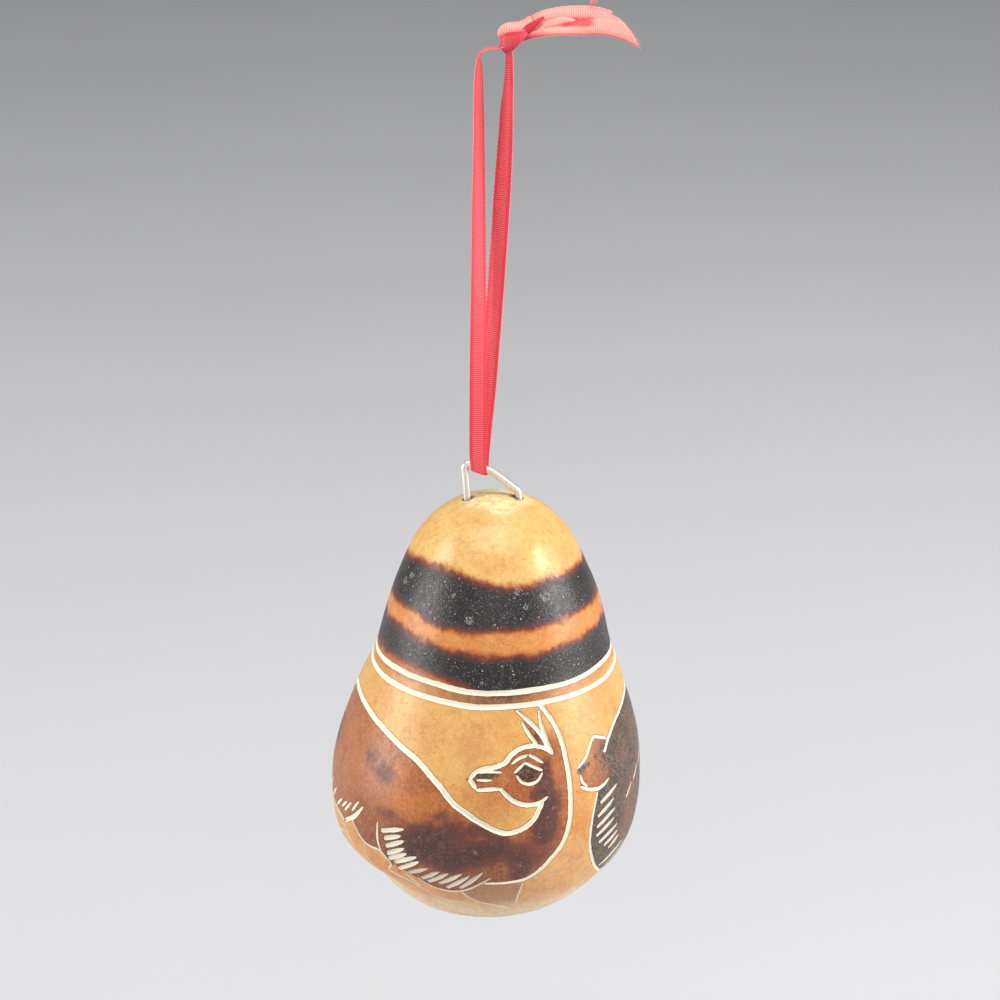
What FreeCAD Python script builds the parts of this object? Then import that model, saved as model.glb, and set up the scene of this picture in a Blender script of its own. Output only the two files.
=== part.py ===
import FreeCAD, Part
import math
import os

# A small dried gourd hung as an ornament: a hollow, uncut gourd shell with two
# turned ring grooves, a bent steel wire bail through two drilled holes in its
# top, the loose dried seeds still inside, and a narrow red ribbon that is
# folded under the bail, carried up in two strands, laid over its support and
# knotted, with two cut tails.
#
# Millimetres.  The origin is the centre of the hanging seat, the middle of the
# bend that the ribbon makes at the top.  +Z up, the carved face that is seen
# from the front looks along -Y, +X to its right.  The object is drawn hanging.

V = FreeCAD.Vector

# ------------------------------------------------------------ driving sizes
# gourd
gourd_top_z = -79.35        # highest point of the gourd, at the stem scar
gourd_axis_top_x = 0.75     # the axis leans a little: x at the top ...
gourd_axis_low_x = -1.00    # ... and at the bottom
gourd_height = 85.2
wall = 3.0                  # thickness of the dried shell
# outer profile, (distance below the top, radius)
gourd_profile = [
    (0.00, 0.0), (0.28, 3.1), (1.15, 6.2), (2.70, 9.05), (4.80, 11.6), (7.40, 13.8), (10.4, 15.6),
    (16.4, 18.3), (21.7, 20.2), (26.6, 21.5), (30.8, 22.55), (36.0, 24.6), (41.0, 26.5), (48.1, 28.75),
    (54.1, 30.05), (58.4, 30.35), (63.0, 30.1), (67.5, 29.0), (71.6, 26.8), (75.5, 24.0), (78.9, 20.6),
    (81.5, 16.5), (83.3, 12.0), (84.5, 7.4), (85.05, 3.6), (85.2, 0.0),
]
# the same skin seen from inside, one wall thickness further in
cavity_profile = [
    (3.00, 0.0), (3.15, 2.6), (3.70, 5.0), (5.20, 7.5), (7.40, 9.9), (10.2, 12.0), (13.6, 13.9),
    (18.0, 15.8), (22.9, 17.45), (27.5, 18.7), (31.6, 19.7), (37.0, 21.8), (42.0, 23.7), (48.9, 25.8),
    (54.4, 27.05), (58.4, 27.35), (62.5, 27.1), (66.4, 26.1), (69.9, 24.2), (73.4, 21.7), (76.6, 18.5),
    (79.0, 14.9), (80.6, 10.9), (81.6, 6.7), (82.07, 3.2), (82.2, 0.0),
]
ring_1_at = 30.4            # the two carved rings, distance below the top
ring_2_at = 32.95
ring_width = 0.95
ring_depth = 0.40

# wire bail
wire_d = 1.40
hole_d = 1.85
bail_slope = 0.355          # the top of the bail falls to the right by this much
bail_at = (-2.30, -74.34)   # x, z of the bail where the ribbon carries it

# ribbon
ribbon_w = 3.2              # width of the ribbon (1/8 inch)
ribbon_t = 0.45             # thickness
seat_r = 1.65               # inner radius of the ribbon's upper bend
fold_r = 0.775              # inside radius of the fold under the bail
fold_top_z = -72.10         # the fold's own stretch ends here, above the bail
ribbon_x0, ribbon_x1 = -3.90, -0.70   # the two edges of the ribbon at the fold

# seeds
seed_len, seed_wide, seed_thick = 8.4, 5.0, 1.8
seed_centre_down = 56.2     # the seeds lie on a sphere about this point of the axis
seed_r1, seed_r2 = 24.9, 22.6

os.makedirs("parts", exist_ok=True)


def save(shape, node):
    if not shape.isValid():
        print("NOT VALID", node)
    shape.exportStep("parts/%s.step" % node)
    b = shape.BoundBox
    print("%-22s %2d solid(s) %9.2f mm3  x %.1f..%.1f y %.1f..%.1f z %.1f..%.1f" % (
        node, len(shape.Solids), shape.Volume, b.XMin, b.XMax, b.YMin, b.YMax, b.ZMin, b.ZMax))


# ------------------------------------------------------------ gourd shell
lean = math.degrees(math.atan2(gourd_axis_top_x - gourd_axis_low_x, gourd_height))


def on_axis(shape):
    """Put something drawn about +Z, with its top at z = 0, on the gourd's leaning axis."""
    s = shape.copy()
    s.rotate(V(0, 0, 0), V(0, 1, 0), lean)
    s.translate(V(gourd_axis_top_x, 0, gourd_top_z))
    return s


def turned(profile):
    pts = [V(r, 0, -s) for s, r in profile]
    curve = Part.BSplineCurve()
    curve.interpolate(Points=pts, InitialTangent=V(1, 0, 0), FinalTangent=V(-1, 0, 0))
    edge = curve.toShape()
    back = Part.LineSegment(pts[-1], pts[0]).toShape()
    face = Part.Face(Part.Wire([edge, back]))
    return face.revolve(V(0, 0, 0), V(0, 0, 1), 360)


def radius_at(profile, down):
    for (s0, r0), (s1, r1) in zip(profile, profile[1:]):
        if s0 <= down <= s1:
            return r0 + (r1 - r0) * (down - s0) / (s1 - s0)
    return 0.0


def ring_groove(down):
    r = radius_at(gourd_profile, down)
    h = ring_width / 2
    pts = [V(r + 0.5, 0, -(down - h)), V(r - ring_depth, 0, -(down - h * 0.3)),
           V(r - ring_depth, 0, -(down + h * 0.3)), V(r + 0.5, 0, -(down + h)), V(r + 0.5, 0, -(down - h))]
    face = Part.Face(Part.makePolygon(pts))
    return face.revolve(V(0, 0, 0), V(0, 0, 1), 360)


shell = turned(gourd_profile).cut(turned(cavity_profile))
shell = shell.cut(ring_groove(ring_1_at)).cut(ring_groove(ring_2_at))
shell = on_axis(shell)

# ------------------------------------------------------------ wire bail
bx, bz = bail_at


def bail_z(x):
    return bz - bail_slope * (x - bx)


bail_points = [
    (-5.95, -85.25),            # foot inside the shell, left
    (-3.95, -85.25),
    (-4.85, bail_z(-4.85)),     # the tight upper bend
    (0.30, bail_z(0.30)),       # the top run, straight under the ribbon
    (5.15, -79.10),
    (5.85, -85.25),
    (7.50, -85.25),             # foot inside the shell, right
]
bail_radii = [None, 1.0, 0.78, 4.0, 1.4, 1.0, None]


def rounded_path(points, radii):
    """Straight runs joined by tangent arcs, in the XZ plane."""
    p = [V(x, 0, z) for x, z in points]
    edges, here = [], p[0]
    for i in range(1, len(p) - 1):
        a, b, c = p[i - 1], p[i], p[i + 1]
        u = (a - b).normalize()
        v = (c - b).normalize()
        half = u.getAngle(v) / 2
        r = radii[i]
        t = r / math.tan(half)
        q0, q1 = b + u * t, b + v * t
        mid_dir = (u + v).normalize()
        centre = b + mid_dir * (r / math.sin(half))
        mid = centre - mid_dir * r
        edges.append(Part.LineSegment(here, q0).toShape())
        edges.append(Part.Arc(q0, mid, q1).toShape())
        here = q1
    edges.append(Part.LineSegment(here, p[-1]).toShape())
    return Part.Wire(edges)


bail_path = rounded_path(bail_points, bail_radii)
start = V(bail_points[0][0], 0, bail_points[0][1])
first = (V(bail_points[1][0], 0, bail_points[1][1]) - start).normalize()
section = Part.Wire(Part.makeCircle(wire_d / 2, start, first))
bail = bail_path.makePipeShell([section], True, True)

for (x0, z0), (x1, z1) in ((bail_points[2], bail_points[1]), (bail_points[4], bail_points[5])):
    d = V(x1 - x0, 0, z1 - z0).normalize()
    a = V(x1, 0, z1) - d * 7.0
    shell = shell.cut(Part.makeCylinder(hole_d / 2, 8.0, a, d))
shell = shell.Solids[0]

# ------------------------------------------------------------ dried seeds
ball = Part.makeSphere(0.5)
scale = FreeCAD.Matrix()
scale.scale(V(seed_len, seed_wide, seed_thick))
one_seed = ball.transformGeometry(scale)

seed_places = [(0, 0, 20, seed_r1)]
for k in range(6):
    seed_places.append((22.5 + (k % 2) * 1.5, 60 * k + 12, 55 + 37 * k, seed_r1))
for k in range(3):
    seed_places.append((14.5, 120 * k + 40, 120 * k + 130, seed_r2))
seeds = []
for polar, around, spin, radius in seed_places:
    s = one_seed.copy()
    s.rotate(V(0, 0, 0), V(0, 0, 1), spin)
    s.translate(V(0, 0, -radius))
    s.rotate(V(0, 0, 0), V(0, 1, 0), -polar)
    s.rotate(V(0, 0, 0), V(0, 0, 1), around)
    s.translate(V(0, 0, -seed_centre_down))
    seeds.append(on_axis(s))
seed_group = Part.makeCompound(seeds)


# ------------------------------------------------------------ ribbon
def flat(points, across):
    """A flat ribbon run: its cross-section is carried along the points, each with
    the direction of the ribbon's width there.  Sections stand square to the run."""
    wires = []
    n = len(points)
    for i in range(n):
        a = points[max(i - 1, 0)]
        b = points[min(i + 1, n - 1)]
        if i == 0 or i == n - 1:
            t = (b - a)
        else:
            t = (points[i] - a).normalize() + (b - points[i]).normalize()
        t.normalize()
        w = across[i] - t * across[i].dot(t)
        w.normalize()
        m = t.cross(w)
        m.normalize()
        p = points[i]
        h, k = w * (ribbon_w / 2), m * (ribbon_t / 2)
        q = [p - h - k, p + h - k, p + h + k, p - h + k]
        wires.append(Part.makePolygon(q + [q[0]]))
    return Part.makeLoft(wires, True, True)


def turn_dir(deg):
    """Direction of the ribbon's width: 0 is along Y (edge on from the front), 90 along X (flat to the front)."""
    return V(math.sin(math.radians(deg)), math.cos(math.radians(deg)), 0)


def length(points):
    return sum((b - a).Length for a, b in zip(points, points[1:]))


def at_z(a, b, z):
    f = (z - a.z) / (b.z - a.z)
    return a + (b - a) * f


# the upper bend: up the left side, round the seat, and level to the knot
rm = seat_r + ribbon_t / 2
knot_x0, knot_x1, knot_z0, knot_z1, knot_y = 2.25, 6.85, 1.20, 6.00, 1.95
arc = [V(-rm * math.cos(math.radians(a)), 0, rm * math.sin(math.radians(a))) for a in range(0, 91, 10)]
over_pts = arc + [V(knot_x0, 0, rm)]
over_hook = flat(over_pts, [V(0, 1, 0)] * len(over_pts))

# left strand: straight from the upper bend to the fold, turning a quarter on the way
fold_mid_x = (ribbon_x0 + ribbon_x1) / 2
ym = fold_r + ribbon_t / 2
left_top = V(-rm, 0, 0)
left_low = V(fold_mid_x, -ym, fold_top_z)
left_turns = [(0.0, 0), (-3, 20), (-7, 38), (-14, 46), (-24, 51), (-39, 55), (-50, 68), (-58, 79), (-66, 87), (fold_top_z, 90)]
left_pts = [at_z(left_top, left_low, z) for z, _ in left_turns]
left_dirs = [turn_dir(a) for _, a in left_turns]
left_strand = flat(left_pts, left_dirs)

# right strand: out of the knot, straight down, and in again to the fold
right_top = V(3.62, 0.0, knot_z0)
right_bend = V(-0.62, 0.86, -68.2)
right_low = V(fold_mid_x, ym, fold_top_z)
right_turns = [(knot_z0, 146), (-3, 142), (-8, 136), (-16, 122), (-24, 112), (-38, 113), (-50, 115), (-60, 104), (-66.6, 94)]
right_pts = [at_z(right_top, right_bend, z) for z, _ in right_turns]
right_dirs = [turn_dir(a) for _, a in right_turns]
for f in (0.0, 0.5, 1.0):
    right_pts.append(right_bend + (right_low - right_bend) * (0.12 + 0.76 * f) + V(0.10 * (1 - abs(2 * f - 1)), 0, 0))
    right_dirs.append(turn_dir(90))
right_pts.append(right_low)
right_dirs.append(turn_dir(90))
right_strand = flat(right_pts, right_dirs)
# square the lower ends off level, where the fold takes over
left_strand = left_strand.common(Part.makeBox(60, 60, -fold_top_z, V(-30, -30, fold_top_z)))
right_strand = right_strand.common(Part.makeBox(60, 60, knot_z0 - fold_top_z, V(-30, -30, fold_top_z)))
over_hook = over_hook.common(Part.makeBox(30 + knot_x0, 60, 60, V(-30, -30, 0)))

# the fold: a U that runs along the bail, cut to the ribbon's upright edges
axis = V(1, 0, -bail_slope).normalize()
side = V(0, 1, 0)
up = side.cross(axis) * -1
if up.z < 0:
    up = up * -1
c0 = V(bx, 0, bz) - axis * 4.0


def u_face(r):
    a = c0 - side * r
    b = c0 + side * r
    low = c0 - up * r
    top = up * 6.0
    e = [Part.LineSegment(a + top, a).toShape(), Part.Arc(a, low, b).toShape(), Part.LineSegment(b, b + top).toShape(),
         Part.LineSegment(b + top, a + top).toShape()]
    return Part.Face(Part.Wire(e))


fold_outer = u_face(fold_r + ribbon_t).extrude(axis * 8.0)
fold_inner = u_face(fold_r).extrude(axis * 8.0)
fold = fold_outer.cut(fold_inner)
fold = fold.common(Part.makeBox(ribbon_x1 - ribbon_x0, 10, 20, V(ribbon_x0, -5, fold_top_z - 20)))

# the knot: a closed lump of the wrapped ribbon's outer shape
knot = Part.makeBox(knot_x1 - knot_x0, 2 * knot_y, knot_z1 - knot_z0, V(knot_x0, -knot_y, knot_z0))
knot = knot.makeFillet(0.40, knot.Edges)

# the two cut tails
def lerp_dirs(a, b, n):
    return [a * (1 - i / (n - 1)) + b * (i / (n - 1)) for i in range(n)]


tail_hi_pts = [V(knot_x1, 0.75, 5.1), V(9.2, 0.95, 6.5), V(12.9, 1.05, 7.6), V(17.1, 1.05, 7.9), V(21.2, 0.9, 7.3)]
tail_hi = flat(tail_hi_pts, lerp_dirs(V(0, 0.55, 0.84), V(0, 0.35, 0.94), 5))
tail_lo_pts = [V(knot_x1, -0.75, 3.6), V(10.0, -0.95, 4.7), V(14.2, -1.05, 5.35), V(18.3, -1.05, 5.3), V(22.7, -0.95, 4.5), V(26.1, -0.8, 3.2)]
tail_lo = flat(tail_lo_pts, lerp_dirs(V(0, 0.45, 0.89), V(0, 0.25, 0.97), 6))
keep_right = Part.makeBox(60, 60, 60, V(knot_x1, -30, -30))
tail_hi = tail_hi.common(keep_right)
tail_lo = tail_lo.common(keep_right)

for node, shape in (("gourd_shell", shell), ("wire_bail", bail), ("dried_seeds", seed_group),
                    ("ribbon_over_hook", over_hook), ("ribbon_left_strand", left_strand),
                    ("ribbon_right_strand", right_strand), ("ribbon_fold", fold), ("ribbon_knot", knot),
                    ("ribbon_tail_upper", tail_hi), ("ribbon_tail_lower", tail_lo)):
    save(shape, node)

for name, pts, shape in (("over hook", over_pts, over_hook), ("left strand", left_pts, left_strand),
                         ("right strand", right_pts, right_strand), ("upper tail", tail_hi_pts, tail_hi),
                         ("lower tail", tail_lo_pts, tail_lo)):
    l = length(pts)
    print("ribbon %-12s length %6.1f mm, section x length %6.1f mm3, solid %6.1f mm3" % (
        name, l, l * ribbon_w * ribbon_t, shape.Volume))
print("ribbon radii: upper bend %.2f mm, fold %.2f mm" % (rm, fold_r + ribbon_t / 2))
g = shell.Solids[0].CenterOfMass
print("shell centre of mass %.2f %.2f %.2f" % (g.x, g.y, g.z))
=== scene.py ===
import math

import bpy
import numpy as np
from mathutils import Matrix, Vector, noise
from mathutils.geometry import delaunay_2d_cdt
from mathutils.kdtree import KDTree


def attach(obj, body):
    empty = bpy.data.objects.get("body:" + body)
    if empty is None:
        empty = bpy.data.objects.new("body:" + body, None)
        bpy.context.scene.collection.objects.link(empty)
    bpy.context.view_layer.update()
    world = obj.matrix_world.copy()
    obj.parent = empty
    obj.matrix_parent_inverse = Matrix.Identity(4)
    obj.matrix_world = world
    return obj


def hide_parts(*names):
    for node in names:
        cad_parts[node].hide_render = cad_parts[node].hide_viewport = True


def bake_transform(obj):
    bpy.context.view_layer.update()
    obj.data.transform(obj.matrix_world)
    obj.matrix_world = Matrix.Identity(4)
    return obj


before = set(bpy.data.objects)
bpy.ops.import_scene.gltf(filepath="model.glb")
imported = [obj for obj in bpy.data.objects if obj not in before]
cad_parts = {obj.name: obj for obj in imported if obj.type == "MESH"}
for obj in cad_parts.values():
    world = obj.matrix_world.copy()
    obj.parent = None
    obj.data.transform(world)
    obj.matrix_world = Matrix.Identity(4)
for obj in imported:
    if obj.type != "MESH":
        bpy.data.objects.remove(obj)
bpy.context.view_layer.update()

PI = math.pi
MM = 0.001


# ---------------------------------------------------------------- helpers
def lin(r, g, b):
    """An sRGB colour, 0 to 255, as linear RGBA."""
    out = []
    for c in (r, g, b):
        c = c / 255.0
        out.append(c / 12.92 if c <= 0.04045 else ((c + 0.055) / 1.055) ** 2.4)
    return (out[0], out[1], out[2], 1.0)


def smooth01(x):
    x = np.clip(x, 0.0, 1.0)
    return x * x * (3 - 2 * x)


def n1(x, y=0.0, z=0.0):
    return noise.noise(Vector((x, y, z)))


def link(name, mesh):
    o = bpy.data.objects.new(name, mesh)
    bpy.context.scene.collection.objects.link(o)
    return o


def mesh_object(name, verts, faces, mats=(), smooth=True):
    """verts in millimetres."""
    me = bpy.data.meshes.new(name)
    me.from_pydata((np.asarray(verts, float) * MM).tolist(), [], [list(map(int, f)) for f in faces])
    me.update()
    for m in mats:
        me.materials.append(m)
    if smooth:
        me.polygons.foreach_set("use_smooth", [True] * len(me.polygons))
    return link(name, me)


def put_float(me, name, values):
    a = me.attributes.new(name, "FLOAT", "POINT")
    a.data.foreach_set("value", np.asarray(values, np.float32))


def put_colour(me, name, values):
    a = me.attributes.new(name, "FLOAT_COLOR", "POINT")
    v = np.ones((len(values), 4), np.float32)
    v[:, :3] = np.asarray(values)[:, :3]
    a.data.foreach_set("color", v.ravel())


class Nodes:
    """A material written as a chain of small calls."""

    def __init__(self, name):
        self.mat = bpy.data.materials.new(name)
        self.mat.use_nodes = True
        self.t = self.mat.node_tree
        self.t.nodes.clear()
        self.out = self.t.nodes.new("ShaderNodeOutputMaterial")
        self.bsdf = self.t.nodes.new("ShaderNodeBsdfPrincipled")
        self.t.links.new(self.bsdf.outputs[0], self.out.inputs["Surface"])
        self._pos = None

    def feed(self, socket, value):
        if isinstance(value, bpy.types.NodeSocket):
            self.t.links.new(value, socket)
        elif value is not None:
            socket.default_value = value

    def shader(self, **values):
        for k, v in values.items():
            self.feed(self.bsdf.inputs[k.replace("_", " ")], v)

    def pos(self):
        """Object coordinates in millimetres."""
        if self._pos is None:
            tc = self.t.nodes.new("ShaderNodeTexCoord")
            sc = self.t.nodes.new("ShaderNodeVectorMath")
            sc.operation = "SCALE"
            self.t.links.new(tc.outputs["Object"], sc.inputs[0])
            sc.inputs["Scale"].default_value = 1000.0
            self._pos = sc.outputs[0]
        return self._pos

    def stretch(self, vec, x, y, z):
        m = self.t.nodes.new("ShaderNodeVectorMath")
        m.operation = "MULTIPLY"
        self.t.links.new(vec, m.inputs[0])
        m.inputs[1].default_value = (x, y, z)
        return m.outputs[0]

    def noise(self, scale, detail=2.0, rough=0.5, vec=None, distortion=0.0):
        n = self.t.nodes.new("ShaderNodeTexNoise")
        self.t.links.new(vec or self.pos(), n.inputs["Vector"])
        n.inputs["Scale"].default_value = scale
        n.inputs["Detail"].default_value = detail
        n.inputs["Roughness"].default_value = rough
        n.inputs["Distortion"].default_value = distortion
        return n.outputs["Fac"]

    def cells(self, scale, out="Distance", vec=None, randomness=1.0):
        n = self.t.nodes.new("ShaderNodeTexVoronoi")
        self.t.links.new(vec or self.pos(), n.inputs["Vector"])
        n.inputs["Scale"].default_value = scale
        n.inputs["Randomness"].default_value = randomness
        return n.outputs[out]

    def attr(self, name, out="Fac"):
        a = self.t.nodes.new("ShaderNodeAttribute")
        a.attribute_type = "GEOMETRY"
        a.attribute_name = name
        return a.outputs[out]

    def math(self, op, a, b=None, c=None, clamp=False):
        m = self.t.nodes.new("ShaderNodeMath")
        m.operation = op
        m.use_clamp = clamp
        self.feed(m.inputs[0], a)
        if b is not None:
            self.feed(m.inputs[1], b)
        if c is not None:
            self.feed(m.inputs[2], c)
        return m.outputs[0]

    def span(self, x, a, b, lo=0.0, hi=1.0, smooth=True):
        m = self.t.nodes.new("ShaderNodeMapRange")
        m.interpolation_type = "SMOOTHSTEP" if smooth else "LINEAR"
        self.feed(m.inputs["Value"], x)
        m.inputs["From Min"].default_value = a
        m.inputs["From Max"].default_value = b
        m.inputs["To Min"].default_value = lo
        m.inputs["To Max"].default_value = hi
        return m.outputs[0]

    def mix(self, fac, a, b, blend="MIX"):
        m = self.t.nodes.new("ShaderNodeMix")
        m.data_type = "RGBA"
        m.blend_type = blend
        m.clamp_factor = True
        self.feed(m.inputs[0], fac)
        self.feed(m.inputs[6], a)
        self.feed(m.inputs[7], b)
        return m.outputs[2]

    def ramp(self, fac, stops, interp="LINEAR"):
        r = self.t.nodes.new("ShaderNodeValToRGB")
        r.color_ramp.interpolation = interp
        e = r.color_ramp.elements
        e[0].position, e[0].color = stops[0]
        e[1].position, e[1].color = stops[-1]
        for p, c in stops[1:-1]:
            k = e.new(p)
            k.color = c
        self.t.links.new(fac, r.inputs[0])
        return r.outputs[0]

    def bump(self, height, distance_mm, strength=1.0, normal=None):
        b = self.t.nodes.new("ShaderNodeBump")
        b.inputs["Strength"].default_value = strength
        b.inputs["Distance"].default_value = distance_mm * MM
        self.t.links.new(height, b.inputs["Height"])
        if normal is not None:
            self.t.links.new(normal, b.inputs["Normal"])
        return b.outputs[0]


# ---------------------------------------------------------------- the gourd's skin as a surface
# Polar form: theta is the angle down from the top as seen from a point inside the
# gourd, rho the distance from that point.  phi is the angle round the gourd, 0 at the
# front (-Y), growing towards +X.  Millimetres.
RHO_AT = PI * np.array([0, .05, .1, .15, .21, .28, .36, .45, .54, .62, .69, .76, .82, .87, .915, .96, 1.0])
RHO = np.array([48.126, 46.969, 43.411, 38.196, 33.096, 28.833, 27.391, 27.727, 29.913, 32.637, 34.943, 36.133,
                37.401, 37.102, 36.074, 36.183, 36.205])


def clamped_spline(x, y):
    """Cubic spline with level ends."""
    n = len(x)
    h = np.diff(x)
    A = np.zeros((n, n))
    b = np.zeros(n)
    A[0, 0], A[0, 1] = 2 * h[0], h[0]
    b[0] = 6 * (y[1] - y[0]) / h[0]
    A[-1, -1], A[-1, -2] = 2 * h[-1], h[-1]
    b[-1] = -6 * (y[-1] - y[-2]) / h[-1]
    for i in range(1, n - 1):
        A[i, i - 1], A[i, i], A[i, i + 1] = h[i - 1], 2 * (h[i - 1] + h[i]), h[i]
        b[i] = 6 * ((y[i + 1] - y[i]) / h[i] - (y[i] - y[i - 1]) / h[i - 1])
    M = np.linalg.solve(A, b)

    def f(t):
        t = np.clip(t, x[0], x[-1])
        i = np.clip(np.searchsorted(x, t) - 1, 0, n - 2)
        a, c, hh = x[i + 1] - t, t - x[i], h[i]
        return (M[i] * a ** 3 + M[i + 1] * c ** 3) / (6 * hh) + (y[i] / hh - M[i] * hh / 6) * a + (
            y[i + 1] / hh - M[i + 1] * hh / 6) * c
    return f


rho_of = clamped_spline(RHO_AT, RHO)
LEAN = math.radians(-0.9345)
DOWN = np.array([-math.sin(LEAN), 0.0, -math.cos(LEAN)])
EX = np.array([math.cos(LEAN), 0.0, -math.sin(LEAN)])
EY = np.array([0.0, 1.0, 0.0])
CENTRE = np.array([1.2049, 0.0, -127.472])


LUMPS = [(-78, 122, 42, 6.5, 0.45), (-66, 136, 48, 7.5, -0.85), (72, 131, 44, 10, 0.75), (88, 88, 30, 14, 0.30)]


def skin(phi, theta):
    phi, theta = np.asarray(phi, float), np.asarray(theta, float)
    rho = rho_of(theta)
    r, z = rho * np.sin(theta), -rho * np.cos(theta)
    u = theta / PI
    cx = -1.8663 * np.sin(PI * u) + 0.9893 * np.sin(2 * PI * u)
    # no gourd is quite round: a few places stand a little out or in
    d = np.degrees(theta)
    for p0, t0, sp, st, k in LUMPS:
        dp = (np.degrees(phi) - p0 + 180) % 360 - 180
        k = k * np.exp(-((dp / sp) ** 2 + ((d - t0) / st) ** 2))
        r = r + k * np.sin(theta)
        z = z - k * np.cos(theta)
    z = z + 0.50 * smooth01((25 - d) / 20) + 0.45 * smooth01((d - 138) / 20)
    return (CENTRE + z[..., None] * DOWN + (cx + r * np.sin(phi))[..., None] * EX
            - (r * np.cos(phi))[..., None] * EY)


def skin_normal(phi, theta):
    e = 1e-4
    a = skin(phi + e, theta) - skin(phi - e, theta)
    b = skin(phi, theta + e) - skin(phi, theta - e)
    n = np.cross(b, a)
    n /= np.maximum(np.linalg.norm(n, axis=-1, keepdims=True), 1e-12)
    return n


# angle-keeping map of the meridian: v grows so that a step in v is as long as the same step in phi
_t = np.linspace(0.0, PI, 6001)
_rho = rho_of(_t)
_r, _z = _rho * np.sin(_t), -_rho * np.cos(_t)
_ds = np.hypot(np.diff(_r), np.diff(_z))
ARC = np.concatenate([[0.0], np.cumsum(_ds)])
_v = np.concatenate([[0.0], np.cumsum(_ds / np.maximum(0.5 * (_r[1:] + _r[:-1]), 0.02))])
_v -= np.interp(PI / 2, _t, _v)


def v_of(theta):
    return np.interp(theta, _t, _v)


def theta_of(v):
    return np.interp(v, _v, _t)


def radius_of(theta):
    return np.interp(theta, _t, _r)


def arc_of(theta):
    return np.interp(theta, _t, ARC)


# ---------------------------------------------------------------- the engraving
# Each stroke of the gouge: name, widths in mm (start, middle, end), points (phi, theta)
# in degrees, then what it is: c a curve, p straight runs; dark edge strength; grime.
STROKES = []


def cut(name, widths, pts, kind="c", edge=1.0, grime=0.0, chatter=0.0):
    STROKES.append(dict(name=name, w=widths, pts=pts, kind=kind, edge=edge, grime=grime, chatter=chatter))


BACK = [(-128, 103), (-125, 94), (-118, 84), (-108, 76.5), (-96, 71.8), (-84, 69.8), (-69.9, 70.0), (-56.9, 71.7),
        (-47.7, 73.6), (-36.7, 77.1), (-30.8, 79.2), (-23.0, 83.9), (-17.0, 88.6), (-11.5, 93.7), (-6.6, 96.8),
        (-1.7, 99.8), (2.9, 102.2), (8.2, 103.7), (12.8, 102.9), (16.7, 100.5), (19.2, 97.1), (20.9, 94.3)]
NECK = [(22.2, 57.9), (25.4, 62.7), (28.7, 68.8), (30.5, 74.8), (31.7, 81.7), (32.2, 88.3), (32.0, 96.2), (31.3, 102.6),
        (30.0, 107.3), (27.8, 111.6), (24.0, 115.2), (20.0, 118.6), (14.9, 121.3), (9.7, 122.1), (-0.4, 122.1)]
BELLY = [(-25.6, 122.8), (-22.8, 124.9), (-18.7, 126.4), (-14.8, 127.0), (-9.8, 126.4), (-6.1, 124.8), (-2.6, 122.7),
         (-0.3, 121.3), (2.1, 119.7)]
HEAD_TOP = [(-6.7, 84.5), (-4.8, 82.1), (-1.1, 80.4), (3.1, 79.9), (6.8, 78.3), (9.0, 75.6), (12.3, 73.8), (16.5, 73.2),
            (20.7, 74.1), (24.0, 76.0), (26.0, 78.1)]
JAW = [(-3.9, 88.3), (0.5, 88.1), (5.0, 88.0), (7.1, 90.4), (9.7, 92.6), (12.8, 94.1), (15.9, 94.9), (19.1, 94.7),
       (22.9, 93.1)]
LEG_A = [(-128, 103), (-120, 108), (-108, 111), (-96, 112.2), (-84, 112.8), (-74.5, 113.3), (-67.3, 113.8), (-63.4, 114.6)]
LEG_B = [(-56.8, 111.3), (-53.8, 113.6), (-49.9, 116.1), (-46.0, 116.7), (-40.8, 116.5), (-38.5, 118.2), (-36.6, 120.0),
         (-38.4, 123.1), (-35.8, 124.3), (-29.8, 126.1), (-26.5, 129.1), (-22.4, 133.3), (-18.0, 134.6), (-9.4, 135.5)]
EYE_UP = [(10.2, 82.7), (14.4, 79.3), (21.2, 83.3)]
EYE_LOW = [(11.1, 83.8), (12.9, 86.2), (16.1, 87.4), (18.9, 86.8), (21.2, 84.1)]

cut("back", (0.95, 1.12, 0.95), BACK, chatter=0.4)
cut("neck", (0.85, 1.02, 0.5), NECK, chatter=1.0)
cut("belly", (0.34, 0.52, 0.3), BELLY, edge=0.5, grime=0.25)
cut("head_top", (0.75, 0.95, 0.66), HEAD_TOP, chatter=0.8)
cut("muzzle", (0.8, 0.85, 0.66), [(-6.7, 84.4), (-3.9, 88.0)], "p")
cut("nostril", (0.42, 0.58, 0.3), [(-4.2, 81.9), (0.5, 81.6), (5.5, 82.1)])
cut("mouth", (0.38, 0.54, 0.26), [(-3.9, 84.7), (-1.2, 84.8), (1.8, 84.8)])
cut("jaw", (0.56, 0.8, 0.6), JAW[:3], "p")
cut("jaw2", (0.6, 0.86, 0.55), JAW[2:], chatter=0.5)
cut("brow", (0.3, 0.64, 0.38), [(9.1, 79.2), (12.0, 77.4), (15.8, 76.5)], "c")
cut("brow2", (0.5, 0.6, 0.36), [(15.8, 76.5), (18.8, 78.3), (21.7, 80.5)], "c")
cut("eye_1", (0.34, 0.52, 0.46), EYE_UP[:2], "p")
cut("eye_2", (0.46, 0.58, 0.44), EYE_UP[1:], "p")
cut("eye_3", (0.4, 0.6, 0.42), EYE_LOW)
cut("ear_l", (0.28, 0.7, 0.6), [(13.3, 63.5), (16.7, 69.3), (20.0, 73.8)], chatter=0.4)
cut("ear_m", (0.32, 0.82, 0.66), [(10.9, 58.8), (15.1, 62.4), (18.6, 65.7), (21.4, 69.6), (23.6, 73.8), (25.6, 77.5)],
    chatter=0.8)
cut("ear_r", (0.34, 0.78, 0.64), [(21.4, 59.9), (21.4, 64.2), (22.8, 69.1), (24.2, 73.9), (26.0, 78.1)], chatter=1.0)
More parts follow.
